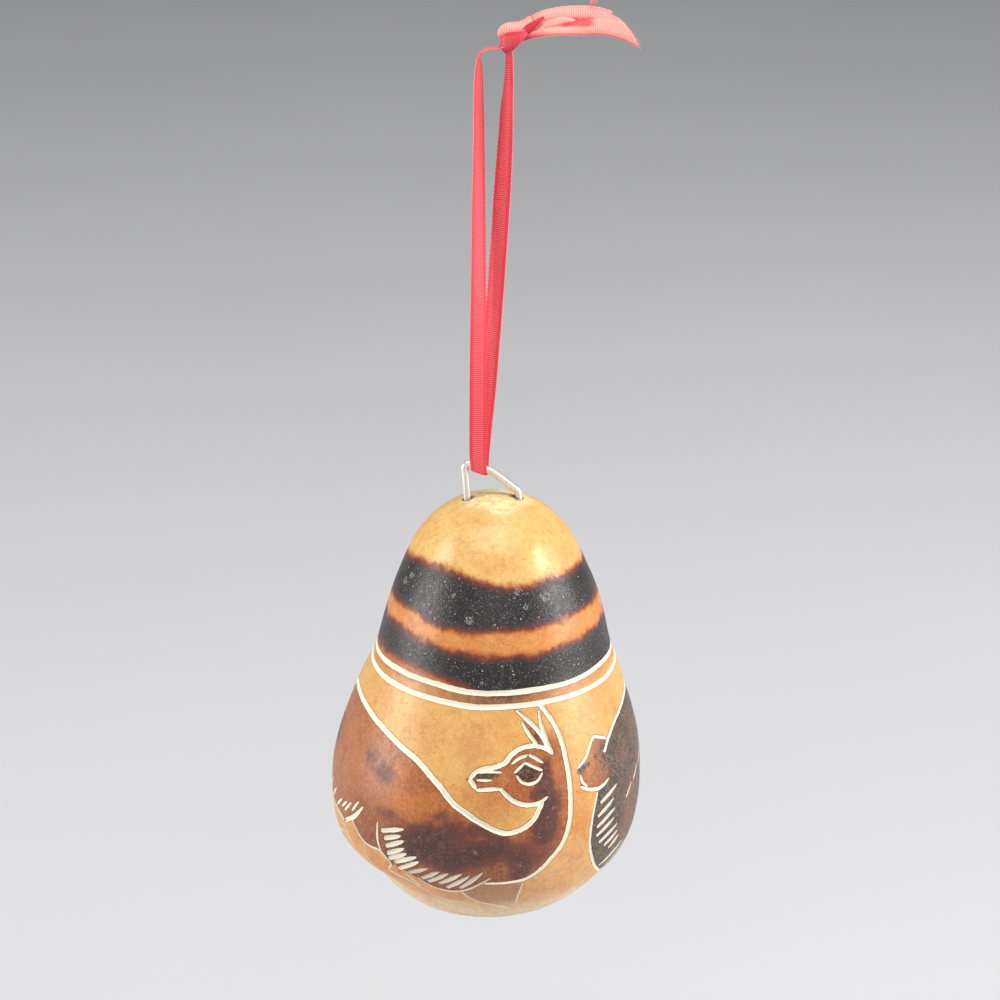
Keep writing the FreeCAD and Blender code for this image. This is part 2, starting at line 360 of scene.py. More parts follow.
for i, (a, b) in enumerate([
        ((-39.8, 108.9), (-29.9, 105.6)), ((-38.6, 111.2), (-31.1, 108.3)), ((-37.8, 113.8), (-29.8, 109.8)),
        ((-37.6, 116.4), (-29.7, 112.4)), ((-36.9, 118.0), (-28.8, 114.0)), ((-34.4, 118.6), (-24.9, 114.3)),
        ((-33.2, 120.9), (-24.0, 115.9))]):
    cut("fur%d" % i, (0.84, 1.0, 0.46), [a, b], "p", grime=0.22)
for i, (a, b, g) in enumerate([
        ((-29.2, 121.4), (-20.8, 117.9), 0.6), ((-24.0, 122.6), (-16.6, 118.4), 0.55), ((-21.6, 123.6), (-13.2, 118.6), 0.4),
        ((-17.0, 123.4), (-8.2, 118.2), 0.3), ((-14.6, 125.2), (-5.6, 118.9), 0.3), ((-9.4, 124.6), (-0.8, 117.6), 0.35)]):
    cut("fur_low%d" % i, (0.62, 0.92, 0.26), [a, b], "p", edge=0.5, grime=g)
cut("tick", (0.3, 0.52, 0.34), [(-41.5, 106.4), (-41.8, 110.9), (-41.4, 114.3), (-40.4, 116.2)])
for i, (a, b) in enumerate([((-70.9, 112.1), (-65.2, 107.6)), ((-65.2, 110.3), (-60.7, 106.5)),
                            ((-62.7, 110.6), (-57.5, 105.6)), ((-56.8, 108.2), (-52.4, 103.1)),
                            ((-77.5, 112.0), (-72.5, 107.0)), ((-84.0, 111.6), (-79.0, 106.0)),
                            ((-91.0, 111.0), (-86.0, 105.2))]):
    cut("tuft%d" % i, (0.4, 0.58, 0.28), [a, b], "p")
cut("tuft_big", (0.8, 0.95, 0.36), [(-62.8, 114.4), (-54.5, 109.1), (-49.7, 104.0)])
cut("leg_a", (0.42, 0.56, 0.5), LEG_A, grime=0.15)
cut("leg_b", (0.36, 0.48, 0.34), LEG_B, edge=0.4, grime=0.3)
cut("leg_c", (0.36, 0.46, 0.32), [(-63.7, 115.5), (-61.1, 118.8), (-58.4, 121.5), (-55.5, 124.3), (-50.1, 129.0),
                                  (-45.6, 135.2), (-41.1, 140.3)], edge=0.4, grime=0.3)
cut("div", (0.34, 0.44, 0.28), [(-49.3, 117.0), (-50.3, 120.6), (-48.9, 123.6), (-45.7, 126.1)], edge=0.4, grime=0.4)
cut("leaf", (0.28, 0.58, 0.28), [(-30.6, 121.5), (-28.3, 124.5), (-25.9, 127.6)], edge=0.5, grime=0.3)
cut("panel", (0.34, 0.44, 0.3), [(-8.9, 126.7), (-7.2, 129.8), (-5.0, 132.2), (-2.8, 134.0), (2.2, 135.5), (5.8, 137.0),
                                 (9.6, 139.1)], edge=0.3, grime=0.25)
cut("panel_tick", (0.3, 0.4, 0.32), [(13.7, 123.1), (12.9, 128.5), (12.2, 134.9)], edge=0.3, grime=0.25)
# hind leg of the brown figure, round the left side
cut("hind_1", (0.36, 0.5, 0.34), [(-118, 108.6), (-112, 116), (-101, 121.5), (-88, 124.5), (-76, 126.5), (-66, 131)],
    edge=0.4, grime=0.3)
cut("hind_2", (0.34, 0.46, 0.3), [(-96, 112.5), (-91, 117.5), (-82, 120.2), (-72, 120.8), (-64.5, 118.8)], edge=0.4, grime=0.3)
cut("tail_1", (0.36, 0.7, 0.34), [(-128.5, 102), (-133, 99), (-137, 101), (-138.5, 106.5)])
cut("tail_2", (0.36, 0.6, 0.3), [(-126.5, 106.0), (-131, 107.8), (-135, 110.5)])

# the dark figure, on the right
D_BACK = [(51.1, 85.1), (55.5, 81.1), (60.4, 78.0), (67.5, 75.6), (77.0, 73.6), (89.0, 73.0), (101, 74.2), (112, 78.2),
          (121, 85), (128, 94), (131.5, 104), (130, 114), (124, 121.5)]
D_CHEST = [(44.7, 97.9), (42.7, 102.2), (41.0, 108.2), (40.6, 114.0), (42.3, 120.0), (46.6, 126.4), (51.4, 130.9),
           (52.0, 135.4), (56.6, 142.3)]
D_LOW = [(51.4, 130.9), (60, 132.8), (73, 133.6), (88, 132.8), (103, 130.0), (115, 126.4), (124, 121.5)]
D_HEAD = [(53.9, 80.7), (50.3, 78.9), (46.8, 77.5), (43.8, 80.5), (40.9, 83.9), (36.5, 86.3)]
D_JAW = [(36.8, 93.4), (41.4, 95.8), (45.5, 96.7), (48.9, 96.2), (51.2, 95.2)]
cut("d_back", (0.64, 0.86, 0.6), D_BACK, grime=0.08, chatter=0.4)
cut("d_head", (0.55, 0.66, 0.56), D_HEAD, grime=0.05)
cut("d_mouth", (0.42, 0.6, 0.36), [(37.5, 89.2), (38.0, 91.9), (40.1, 94.1)])
cut("d_jaw", (0.44, 0.76, 0.44), D_JAW, grime=0.08)
cut("d_chest", (0.42, 0.62, 0.5), D_CHEST, edge=0.7)
cut("d_low", (0.4, 0.5, 0.36), D_LOW, edge=0.6, grime=0.25)
for i, (a, b) in enumerate([
        ((45.9, 102.2), (55.6, 99.2)), ((44.4, 106.6), (53.4, 103.4)), ((43.9, 110.2), (54.0, 107.2)),
        ((43.8, 113.4), (53.6, 110.6)), ((45.6, 116.4), (55.8, 113.8)), ((48.9, 118.8), (56.8, 116.6)),
        ((52.3, 121.2), (58.4, 118.8)), ((49.4, 127.2), (62.8, 123.0)), ((56.0, 130.2), (68, 124.6)),
        ((65, 131.8), (76, 125.6)), ((74, 132.2), (84.5, 126.0)), ((83, 131.9), (92.8, 125.6)),
        ((91.5, 130.7), (100.8, 124.4)), ((99.8, 128.8), (108.8, 122.4)), ((107.8, 126.5), (115.8, 120.2))]):
    cut("d_fur%d" % i, (0.62, 0.92, 0.34), [a, b], "p", grime=0.42, edge=0.8)
for i in range(7):
    a, b = 62.0 + 8.2 * i, 104.0 - 1.2 * i + 0.35 * (i - 3) ** 2
    cut("d_wool%d" % i, (0.40, 0.62, 0.26), [(a, b), (a + 5.6, b - 3.4)], "p", grime=0.5, edge=0.7)
cut("d_leg1", (0.34, 0.46, 0.3), [(70, 133.6), (75, 139), (84, 142.5), (95, 143.5)], edge=0.4, grime=0.3)
cut("d_leg2", (0.34, 0.46, 0.3), [(100, 131), (104, 136.5), (111, 139.5), (120, 139)], edge=0.4, grime=0.3)
cut("d_leg3", (0.3, 0.42, 0.28), [(84, 133.2), (89, 137.5), (97, 139.3), (105, 137.6)], edge=0.3, grime=0.35)

# a third figure of the same kind, on the far side
SHIFT = 171.0


def moved(pts, d=SHIFT):
    return [(a + d, b) for a, b in pts]


T_BACK = [(141.5, 112), (139.6, 103), (140.8, 93), (145.5, 84), (152, 79.5), (159, 80.5), (165, 86), (170.5, 92.5),
          (175.0, 98.0), (179.5, 101.8), (184, 102.4), (187.5, 100.3), (190.2, 97.1), (191.9, 94.3)]
T_NECK = moved(NECK[:-1]) + [(176, 122.6), (171, 122.9)]
T_LOW = [(141.5, 112), (144, 118.5), (149.5, 122.5), (157, 124.3), (164.5, 124.2), (171, 122.9)]
cut("t_back", (0.6, 1.0, 0.85), T_BACK, chatter=0.4)
cut("t_neck", (0.8, 1.0, 0.5), T_NECK, chatter=0.8)
cut("t_low", (0.4, 0.5, 0.34), T_LOW, edge=0.6, grime=0.2)
cut("t_head_top", (0.75, 0.92, 0.66), moved(HEAD_TOP), chatter=0.8)
cut("t_muzzle", (0.8, 0.85, 0.66), moved([(-6.7, 84.4), (-3.9, 88.0)]), "p")
cut("t_nostril", (0.42, 0.56, 0.3), moved([(-4.2, 81.9), (0.5, 81.6), (5.5, 82.1)]))
cut("t_mouth", (0.38, 0.52, 0.26), moved([(-3.9, 84.7), (-1.2, 84.8), (1.8, 84.8)]))
cut("t_jaw", (0.56, 0.8, 0.6), moved(JAW[:3]), "p")
cut("t_jaw2", (0.6, 0.86, 0.55), moved(JAW[2:]), chatter=0.5)
cut("t_brow", (0.3, 0.6, 0.38), moved([(9.1, 79.0), (12.0, 77.3), (15.8, 76.5), (18.8, 78.1), (21.7, 80.5)]))
cut("t_eye_1", (0.34, 0.52, 0.46), moved(EYE_UP[:2]), "p")
cut("t_eye_2", (0.46, 0.58, 0.44), moved(EYE_UP[1:]), "p")
cut("t_eye_3", (0.4, 0.6, 0.42), moved(EYE_LOW))
cut("t_ear_l", (0.28, 0.7, 0.6), moved([(13.3, 63.5), (16.7, 69.3), (20.0, 73.8)]), chatter=0.4)
cut("t_ear_m", (0.32, 0.8, 0.66), moved([(10.9, 59.4), (15.1, 62.6), (18.6, 65.7), (21.4, 69.6), (23.6, 73.8), (25.6, 77.5)]),
    chatter=0.8)
cut("t_ear_r", (0.34, 0.78, 0.64), moved([(21.0, 60.6), (21.4, 64.2), (22.8, 69.1), (24.2, 73.9), (26.0, 78.1)]), chatter=1.0)
for i in range(9):
    a = 146.0 + 2.9 * i
    b = 116.5 + (2.6 * math.sin(i * 0.42) if i < 6 else 3.4)
    cut("t_fur%d" % i, (0.5, 0.78, 0.26), [(a, b + 2.6), (a + 6.4, b - 2.4)], "p", grime=0.1)
for i in range(5):
    cut("t_fur_b%d" % i, (0.5, 0.76, 0.28), [(147.5 + 0.5 * i, 96 + 3.4 * i), (154.5 + 0.6 * i, 94.2 + 3.3 * i)], "p", grime=0.1)
cut("t_leg1", (0.34, 0.46, 0.3), [(146, 120.5), (148, 127), (154, 132.5), (163, 135), (175, 135.5)], edge=0.4, grime=0.3)
cut("t_leg2", (0.34, 0.46, 0.3), [(160, 124.8), (164, 129), (171, 131), (180, 130)], edge=0.4, grime=0.3)
cut("t_tick", (0.3, 0.4, 0.32), [(188, 122.3), (188.5, 128), (187, 134)], edge=0.3, grime=0.25)


def around(phis, thetas, phi_deg):
    """A level line round the gourd, given at some angles, smoothed."""
    p = np.asarray(phis, float)
    t = np.asarray(thetas, float)
    p3 = np.concatenate([p - 360, p, p + 360])
    t3 = np.concatenate([t, t, t])
    offs = np.linspace(-9, 9, 7)
    w = np.array([1, 2, 3, 4, 3, 2, 1.0])
    w /= w.sum()
    out = 0
    for o, k in zip(offs, w):
        out = out + k * np.interp(phi_deg + o, p3, t3)
    return out


RING_1 = ([-165, -135, -105, -79.9, -55.8, -38.2, -24.9, -9.5, 5.5, 21.2, 36.2, 54.4, 72.2, 95, 125, 155, 180],
          [51.9, 51.6, 51.5, 51.4, 50.7, 50.5, 51.2, 52.0, 52.5, 52.4, 53.0, 53.1, 53.2, 53.7, 53.9, 53.2, 52.4])
RING_2 = ([-165, -135, -105, -72.4, -54.1, -39.0, -26.7, -13.9, -1.1, 10.5, 20.7, 34.0, 48.5, 60.9, 84, 125, 155, 180],
          [56.9, 56.4, 56.2, 56.0, 56.0, 56.1, 56.4, 56.8, 57.3, 57.3, 57.4, 57.7, 58.4, 58.9, 59.2, 59.0, 58.3, 57.5])
BAND_1T = ([-160, -125, -93, -54.3, -34.5, -8.6, 10.2, 30.4, 57.7, 90, 125, 160],
           [24.3, 24.8, 24.6, 22.6, 22.4, 24.0, 25.7, 25.4, 25.4, 26.4, 25.6, 24.2])
BAND_1B = ([-160, -125, -79, -54.5, -38.4, -23.7, 5.6, 37.6, 63.6, 95, 125, 160],
           [34.2, 33.4, 33.3, 32.6, 33.6, 34.8, 34.4, 34.0, 34.1, 34.6, 35.2, 34.8])
BAND_2T = ([-160, -125, -80.5, -53.4, -34.1, -16.8, 3.3, 24.0, 42.3, 65.5, 90, 125, 160],
           [40.4, 39.6, 39.1, 38.8, 39.8, 41.0, 41.6, 41.9, 41.6, 41.3, 41.2, 41.6, 41.2])
# the second black band fades to red-brown above the ring on the left
BAND_2B = ([-160, -120, -85, -64, -48, -34, -20, -9, 2, 40, 80, 120, 160],
           [51.8, 50.8, 48.8, 47.0, 46.6, 47.4, 49.0, 51.6, 54.5, 55.0, 55.5, 55.5, 54.0])


def hermite(x, y, n):
    """Smooth curve through points, in the map's plane (x = phi, y = v); n points a span."""
    x, y = np.asarray(x, float), np.asarray(y, float)
    d = np.concatenate([[0], np.cumsum(np.hypot(np.diff(x), np.diff(y)))])
    mx, my = np.gradient(x, d), np.gradient(y, d)
    t = np.concatenate([np.linspace(d[i], d[i + 1], n, endpoint=False) for i in range(len(d) - 1)] + [[d[-1]]])
    i = np.clip(np.searchsorted(d, t, side="right") - 1, 0, len(d) - 2)
    h = d[i + 1] - d[i]
    s = (t - d[i]) / h
    h00, h10, h01, h11 = 2 * s ** 3 - 3 * s ** 2 + 1, s ** 3 - 2 * s ** 2 + s, -2 * s ** 3 + 3 * s ** 2, s ** 3 - s ** 2
    return (h00 * x[i] + h10 * h * mx[i] + h01 * x[i + 1] + h11 * h * mx[i + 1],
            h00 * y[i] + h10 * h * my[i] + h01 * y[i + 1] + h11 * h * my[i + 1])


STEP = 0.29       # mm between the samples along a stroke
SKIRT = 0.24      # mm from a groove's rim to the row outside it
samples = []      # one dict of arrays a stroke


def sample_stroke(k, st):
    ph = np.radians([p[0] for p in st["pts"]])
    vv = v_of(np.radians([p[1] for p in st["pts"]]))
    if st["kind"] == "c" and len(ph) > 2:
        x, y = hermite(ph, vv, 14)
    else:
        m = 16
        x = np.concatenate([np.linspace(ph[i], ph[i + 1], m, endpoint=False) for i in range(len(ph) - 1)] + [[ph[-1]]])
        y = np.concatenate([np.linspace(vv[i], vv[i + 1], m, endpoint=False) for i in range(len(vv) - 1)] + [[vv[-1]]])
    P = skin(x, theta_of(y))
    d = np.concatenate([[0], np.cumsum(np.linalg.norm(np.diff(P, axis=0), axis=1))])
    length = d[-1]
    n = max(4, int(round(length / STEP)) + 1)
    t = np.linspace(0, length, n)
    x, y = np.interp(t, d, x), np.interp(t, d, y)
    th = theta_of(y)
    r = radius_of(th)
    tx, ty = np.gradient(x), np.gradient(y)
    q = np.hypot(tx, ty)
    nx, ny = -ty / q, tx / q
    # the hand isn't steady
    wob = np.array([n1(a * 0.45, 7.3 * k, 1.7) for a in t]) * 0.09 * min(1.0, length / 12.0)
    x, y = x + nx * wob / r, y + ny * wob / r
    u = t / length
    w0, w1, w2 = st["w"]
    w = np.where(u < 0.5, w0 + (w1 - w0) * np.sin(np.minimum(u, 0.5) * PI), w2 + (w1 - w2) * np.sin(np.clip(1 - u, 0, 0.5) * PI))
    hw = 0.5 * w * (1 + 0.12 * np.array([n1(a * 0.8, 3.1 * k, 9.0) for a in t]))
    cap0, cap1 = 0.55 * w0, 1.1 * w2
    hw = hw * np.sqrt(np.clip(1 - (np.clip(cap0 - t, 0, None) / cap0) ** 2, 0.05, 1))
    e = np.clip((length - t) / cap1, 0, 1)
    hw = hw * np.clip(np.sqrt(np.clip(1 - (1 - e) ** 2, 0.05, 1)), 0.2, 1)
    j = np.array([n1(a * 2.6, 5.9 * k, 2.0) for a in t])
    j2 = np.array([n1(a * 2.6, 5.9 * k, 31.0) for a in t])
    ch = st["chatter"] * 0.055 * (0.6 + 0.4 * np.array([n1(a * 0.3, k * 2.0, 50.0) for a in t])) * np.sin(
        2 * PI * t / (0.95 + 0.0 * t) + 2.5 * np.array([n1(a * 0.5, k, 4.0) for a in t]))
    hl = hw * (1 + 0.16 * j) + ch
    hr = hw * (1 + 0.16 * j2)
    hl, hr = np.maximum(hl, 0.09), np.maximum(hr, 0.09)
    return dict(x=x, y=y, nx=nx, ny=ny, hl=hl, hr=hr, r=r, closed=False, edge=st["edge"], grime=st["grime"], ends=True,
                tx=tx / q, ty=ty / q)


def sample_ring(k, ring, width, wobble):
    n = 480
    ph = -PI + 2 * PI * np.arange(n) / n
    deg = np.degrees(ph)
    th = np.radians(around(ring[0], ring[1], deg))
    c, s = np.cos(ph), np.sin(ph)
    a = np.array([n1(3.0 * c[i] + 9 * k, 3.0 * s[i], 4.0 * k) for i in range(n)])
    b = np.array([n1(11.0 * c[i] + 9 * k, 11.0 * s[i], 3.0) for i in range(n)])
    th = th + np.radians(wobble * a + 0.10 * b)
    y = v_of(th)
    r = radius_of(th)
    tx, ty = np.full(n, 2 * PI / n), (np.roll(y, -1) - np.roll(y, 1)) / 2
    q = np.hypot(tx, ty)
    w = np.array([n1(2.2 * c[i], 2.2 * s[i] + 7 * k, 12.0) for i in range(n)])
    j = np.array([n1(40 * c[i], 40 * s[i], 5.0 + k) for i in range(n)])
    j2 = np.array([n1(40 * c[i], 40 * s[i], 25.0 + k) for i in range(n)])
    left = 0.5 + 0.5 * np.cos(ph + 1.05)      # the cut is a little wider on the left
    hw = 0.5 * width * (0.86 + 0.2 * left + 0.16 * w)
    return dict(x=ph, y=y, nx=-ty / q, ny=tx / q, hl=hw * (1 + 0.14 * j), hr=hw * (1 + 0.14 * j2), r=r, closed=True,
                edge=0.62, grime=0.0, ends=False, tx=tx / q, ty=ty / q)


for k, st in enumerate(STROKES):
    samples.append(sample_stroke(k, st))
samples.append(sample_ring(301, RING_1, 1.0, 0.35))
samples.append(sample_ring(302, RING_2, 1.0, 0.40))

# all centre-line samples in one list, each with its next one
SX, SN, SHL, SHR, SEDGE, SGRIME, SNRM = [], [], [], [], [], [], []
base = 0
for s in samples:
    m = len(s["x"])
    P = skin(s["x"], theta_of(s["y"]))
    Q = skin(s["x"] + s["nx"] * 0.1 / s["r"], theta_of(s["y"] + s["ny"] * 0.1 / s["r"]))
    SX.append(P)
    SNRM.append((Q - P) / np.linalg.norm(Q - P, axis=1, keepdims=True))
    nxt = base + np.arange(m) + 1
    nxt[-1] = base if s["closed"] else base + m - 1
    SN.append(nxt)
    SHL.append(s["hl"])
    SHR.append(s["hr"])
    SEDGE.append(np.full(m, s["edge"]))
    SGRIME.append(np.full(m, s["grime"]))
    base += m
SX, SN, SHL, SHR, SEDGE, SGRIME, SNRM = (np.concatenate(a) for a in (SX, SN, SHL, SHR, SEDGE, SGRIME, SNRM))
tree = KDTree(len(SX))
for i, p in enumerate(SX):
    tree.insert(p, i)
tree.balance()


def groove_at(P, k=7):
    """How each point lies to the nearest groove: distance over half width, mm outside the rim,
    depth in mm, dark edge strength, grime."""
    idx = np.empty((len(P), k), int)
    for i, p in enumerate(P):
        f = tree.find_n(p, k)
        idx[i] = [a[1] for a in f]
    A, B = SX[idx], SX[SN[idx]]
    AB = B - A
    L2 = np.maximum((AB ** 2).sum(-1), 1e-9)
    t = np.clip(((P[:, None] - A) * AB).sum(-1) / L2, 0, 1)
    C = A + t[..., None] * AB
    D = P[:, None] - C
    d = np.linalg.norm(D, axis=-1)
    side = (D * SNRM[idx]).sum(-1) > 0
    hl = SHL[idx] * (1 - t) + SHL[SN[idx]] * t
    hr = SHR[idx] * (1 - t) + SHR[SN[idx]] * t
    hw = np.where(side, hl, hr)
    rel = d / hw
    deep = np.minimum(0.42, 0.12 + 0.62 * hw) * np.clip(1 - rel ** 2, 0, 1) ** 0.75
    j = rel.argmin(1)
    rows = np.arange(len(P))
    jd = (d - hw).argmin(1)
    return rel[rows, j], (d - hw)[rows, jd], deep.max(1), SEDGE[idx][rows, jd], SGRIME[idx][rows, j]


# ---- points of the skin's mesh, in the map's plane
rows_xy, rows_rank = [], []


def add_rows(x, y, rank):
    rows_xy.append(np.stack([x, y], 1))
    rows_rank.append(np.full(len(x), rank))


for s in samples:
    x, y, nx, ny, r = s["x"], s["y"], s["nx"], s["ny"], s["r"]
    add_rows(x + nx * s["hl"] / r, y + ny * s["hl"] / r, 0)
    add_rows(x - nx * s["hr"] / r, y - ny * s["hr"] / r, 0)
    add_rows(x, y, 2)
    wide = np.minimum(s["hl"], s["hr"]) > 0.30
    if wide.any():
        add_rows((x + nx * 0.56 * s["hl"] / r)[wide], (y + ny * 0.56 * s["hl"] / r)[wide], 2)
        add_rows((x - nx * 0.56 * s["hr"] / r)[wide], (y - ny * 0.56 * s["hr"] / r)[wide], 2)
    add_rows(x + nx * (s["hl"] + SKIRT) / r, y + ny * (s["hl"] + SKIRT) / r, 1)
    add_rows(x - nx * (s["hr"] + SKIRT) / r, y - ny * (s["hr"] + SKIRT) / r, 1)
    if s["ends"]:
        for e, sg in ((0, -1), (-1, 1)):
            h = min(s["hl"][e], s["hr"][e])
            for dd, rank in ((h, 0), (h + SKIRT, 1)):
                add_rows(np.array([x[e] + sg * s["tx"][e] * dd / r[e]]), np.array([y[e] + sg * s["ty"][e] * dd / r[e]]), rank)

# the two drilled holes in the top, where the wire goes in
HOLES = [(-4.38, 0.84), (5.28, 0.84)]       # x, radius in mm; both at y = 0
hole_c = []
for hx, hr_ in HOLES:
    th_try = np.linspace(0.02, 0.35, 400)
    ph_h = PI / 2 if hx > 0 else -PI / 2
    xs = skin(np.full(400, ph_h), th_try)[:, 0]
    th_h = float(np.interp(abs(hx), np.abs(xs), th_try))
    c = skin(np.array([ph_h]), np.array([th_h]))[0]
    hole_c.append((c, hr_))
    r_h = radius_of(th_h)
    for rad, cnt, rank in ((hr_, 26, 0), (hr_ + 0.2, 28, 1), (hr_ * 0.86, 22, 0), (hr_ * 0.5, 12, 2), (hr_ * 0.001, 1, 2)):
        a = 2 * PI * np.arange(cnt) / cnt
        add_rows(ph_h + rad * np.cos(a) / r_h, v_of(th_h) + rad * np.sin(a) / r_h, rank)
hole_c_pts = np.array([c for c, _ in hole_c])

PXY = np.concatenate(rows_xy)
RANK = np.concatenate(rows_rank)
PXY[:, 0] = (PXY[:, 0] + PI) % (2 * PI) - PI
order = np.argsort(RANK, kind="stable")
PXY, RANK = PXY[order], RANK[order]
P3 = skin(PXY[:, 0], theta_of(PXY[:, 1]))
# drop points that crowd one of a better rank
rel0, out0, _, _, _ = groove_at(P3)
keep = np.ones(len(P3), bool)
keep &= ~((RANK == 1) & (rel0 < 1.06))
keep &= ~((RANK == 0) & (rel0 < 0.90) & (np.linalg.norm(P3[:, None] - hole_c_pts[None], axis=2).min(1) > 1.2))
PXY, RANK, P3 = PXY[keep], RANK[keep], P3[keep]
kt = KDTree(len(P3))
for i, p in enumerate(P3):
    kt.insert(p, i)
kt.balance()
alive = np.ones(len(P3), bool)
for i, p in enumerate(P3):
    if not alive[i]:
        continue
    for _, j, dist in kt.find_range(p, 0.115):
        if j > i and alive[j]:
            alive[j] = False
PXY, RANK, P3 = PXY[alive], RANK[alive], P3[alive]

TH0, TH1 = 0.062, PI - 0.075
V0, V1 = float(v_of(TH0)), float(v_of(TH1))
FIELD = 0.86
rng = np.random.RandomState(11)
kt = KDTree(len(P3))
for i, p in enumerate(P3):
    kt.insert(p, i)
kt.balance()
v, row, bg = V0, 0, []
n_top = int(round(2 * PI * radius_of(TH0) / FIELD))
n_low = int(round(2 * PI * radius_of(TH1) / FIELD))
for nn, vv in ((n_top, V0), (n_low, V1)):
    for j in range(nn):
        bg.append((-PI + 2 * PI * j / nn, vv, 1))
while True:
    th = float(theta_of(v))
    v += FIELD * 0.9 / float(radius_of(th))
    if v > V1 - FIELD * 0.6 / float(radius_of(TH1)):
        break
    row += 1
    r = float(radius_of(theta_of(v)))
    nn = max(6, int(round(2 * PI * r / FIELD)))
    for j in range(nn):
        bg.append((-PI + 2 * PI * (j + 0.5 * (row % 2) + 0.18 * (rng.rand() - 0.5)) / nn, v + 0.16 * FIELD / r * (rng.rand() - 0.5), 0))
bg = np.array(bg)
bg[:, 0] = (bg[:, 0] + PI) % (2 * PI) - PI
B3 = skin(bg[:, 0], theta_of(bg[:, 1]))
ok = np.array([bg[i, 2] > 0 or kt.find(p)[2] > 0.42 for i, p in enumerate(B3)])
bg, B3 = bg[ok], B3[ok]
inside_v = (PXY[:, 1] > V0 + 1e-4) & (PXY[:, 1] < V1 - 1e-4)
PXY, P3 = PXY[inside_v], P3[inside_v]
XY = np.concatenate([PXY, bg[:, :2]])
N0 = len(XY)

wrap = 0.32
hi, lo = XY[:, 0] > PI - wrap, XY[:, 0] < -PI + wrap
EXT = np.concatenate([XY, XY[hi] - [2 * PI, 0], XY[lo] + [2 * PI, 0]])
IDS = np.concatenate([np.arange(N0), np.where(hi)[0], np.where(lo)[0]])
res = delaunay_2d_cdt([Vector(p) for p in EXT.tolist()], [], [], 0, 1e-9)
dv = np.array([tuple(p) for p in res[0]])
back_id = np.array([IDS[o[0]] for o in res[3]])
tri = np.array(res[2], int)
cen = dv[tri, 0].mean(1)
tri = back_id[tri[(cen >= -PI) & (cen < PI)]]
tri = tri[(tri[:, 0] != tri[:, 1]) & (tri[:, 1] != tri[:, 2]) & (tri[:, 0] != tri[:, 2])]

# caps at the two poles: smaller rings and a last point
cap_xy, cap_faces = [], []
nv = N0
for vv, thp, sgn in ((V0, TH0, 1), (V1, TH1, -1)):
    ringv = np.where(np.abs(XY[:, 1] - vv) < 1e-9)[0]
    ringv = ringv[np.argsort(XY[ringv, 0])]
    prev = list(ringv)
    for f in (0.62, 0.28):
        new = []
        for i in ringv:
            th = thp * f if sgn > 0 else PI - (PI - thp) * f
            cap_xy.append((XY[i, 0], th))
            new.append(nv)
            nv += 1
        m = len(prev)
        for a in range(m):
            b = (a + 1) % m
            q = [prev[a], prev[b], new[b], new[a]]
            cap_faces.append(q)
        prev = new
    cap_xy.append((0.0, 0.0 if sgn > 0 else PI))
    m = len(prev)
    for a in range(m):
        cap_faces.append([prev[a], prev[(a + 1) % m], nv])
    nv += 1

PHI = np.concatenate([XY[:, 0], [c[0] for c in cap_xy]])
THETA = np.concatenate([theta_of(XY[:, 1]), [c[1] for c in cap_xy]])
POS = skin(PHI, THETA)
NRM = skin_normal(PHI, np.clip(THETA, 0.004, PI - 0.004))
REL, OUTD, DEEP, ES, GR = groove_at(POS)
DEEP = np.where(np.abs(REL - 1) < 0.03, 0.0, DEEP)
swell = np.array([0.20 * n1(p[0] * 0.07 + 3, p[1] * 0.07, p[2] * 0.07) + 0.07 * n1(p[0] * 0.19, p[1] * 0.19 + 9, p[2] * 0.19)
                  + 0.016 * n1(p[0] * 0.7, p[1] * 0.7, p[2] * 0.7 + 5) for p in POS])
# the stem scar: a shallow, uneven, slightly sunken patch round the top
scar_r = np.hypot(POS[:, 0] - 0.9, POS[:, 1] + 0.3)
scar_edge = 6.3 + 1.3 * np.array([n1(math.cos(a) * 1.3, math.sin(a) * 1.3, 2.2) for a in PHI])
SCAR = smooth01((scar_edge - scar_r) / 3.6 + 0.5) * (THETA < 0.6)
swell = swell + SCAR * np.array([-0.10 + 0.16 * n1(p[0] * 0.55, p[1] * 0.55, 3.0) + 0.07 * n1(p[0] * 1.5, p[1] * 1.5, 8.0)
                                 if p[2] > -90 else 0.0 for p in POS])
FINAL = POS + NRM * (swell - DEEP)[:, None]
hole_d = np.zeros(len(POS))
HOLE = np.zeros(len(POS))
for c, hr_ in hole_c:
    dd = np.linalg.norm(POS - c, axis=1)
    depth = np.where(dd < hr_ * 0.93, 1.5, 0.0) + np.where(dd < hr_ * 0.7, 0.8, 0.0)
    near = dd < hr_ * 0.93
    FINAL[near] += np.array([0, 0, -1.0]) * depth[near][:, None]
    HOLE = np.maximum(HOLE, smooth01((hr_ + 0.34 - dd) / 0.3))

faces = [list(f) for f in tri] + cap_faces
# turn all faces outwards
f0 = np.array(tri[len(tri) // 2])
nrm0 = np.cross(FINAL[f0[1]] - FINAL[f0[0]], FINAL[f0[2]] - FINAL[f0[0]])
if nrm0 @ NRM[f0[0]] < 0:
    faces = [f[::-1] for f in faces[:len(tri)]] + faces[len(tri):]
fixed = []
for f in faces[len(tri):]:
    a, b, c = FINAL[f[0]], FINAL[f[1]], FINAL[f[2]]
    fixed.append(f[::-1] if np.cross(b - a, c - a) @ NRM[f[0]] < 0 else f)
faces = faces[:len(tri)] + fixed
tri_f = np.array(faces[:len(tri)])
C3 = POS[tri_f].mean(1)
near_cut = OUTD[tri_f].min(1) < 0.1
carved = np.zeros(len(faces), bool)
who = np.where(near_cut)[0]
rc, _, _, _, _ = groove_at(C3[who])
carved[who] = rc < 0.995
in_hole = np.zeros(len(faces), bool)
for c, hr_ in hole_c:
    in_hole[:len(tri)] |= np.linalg.norm(C3 - c, axis=1) < hr_ * 0.97
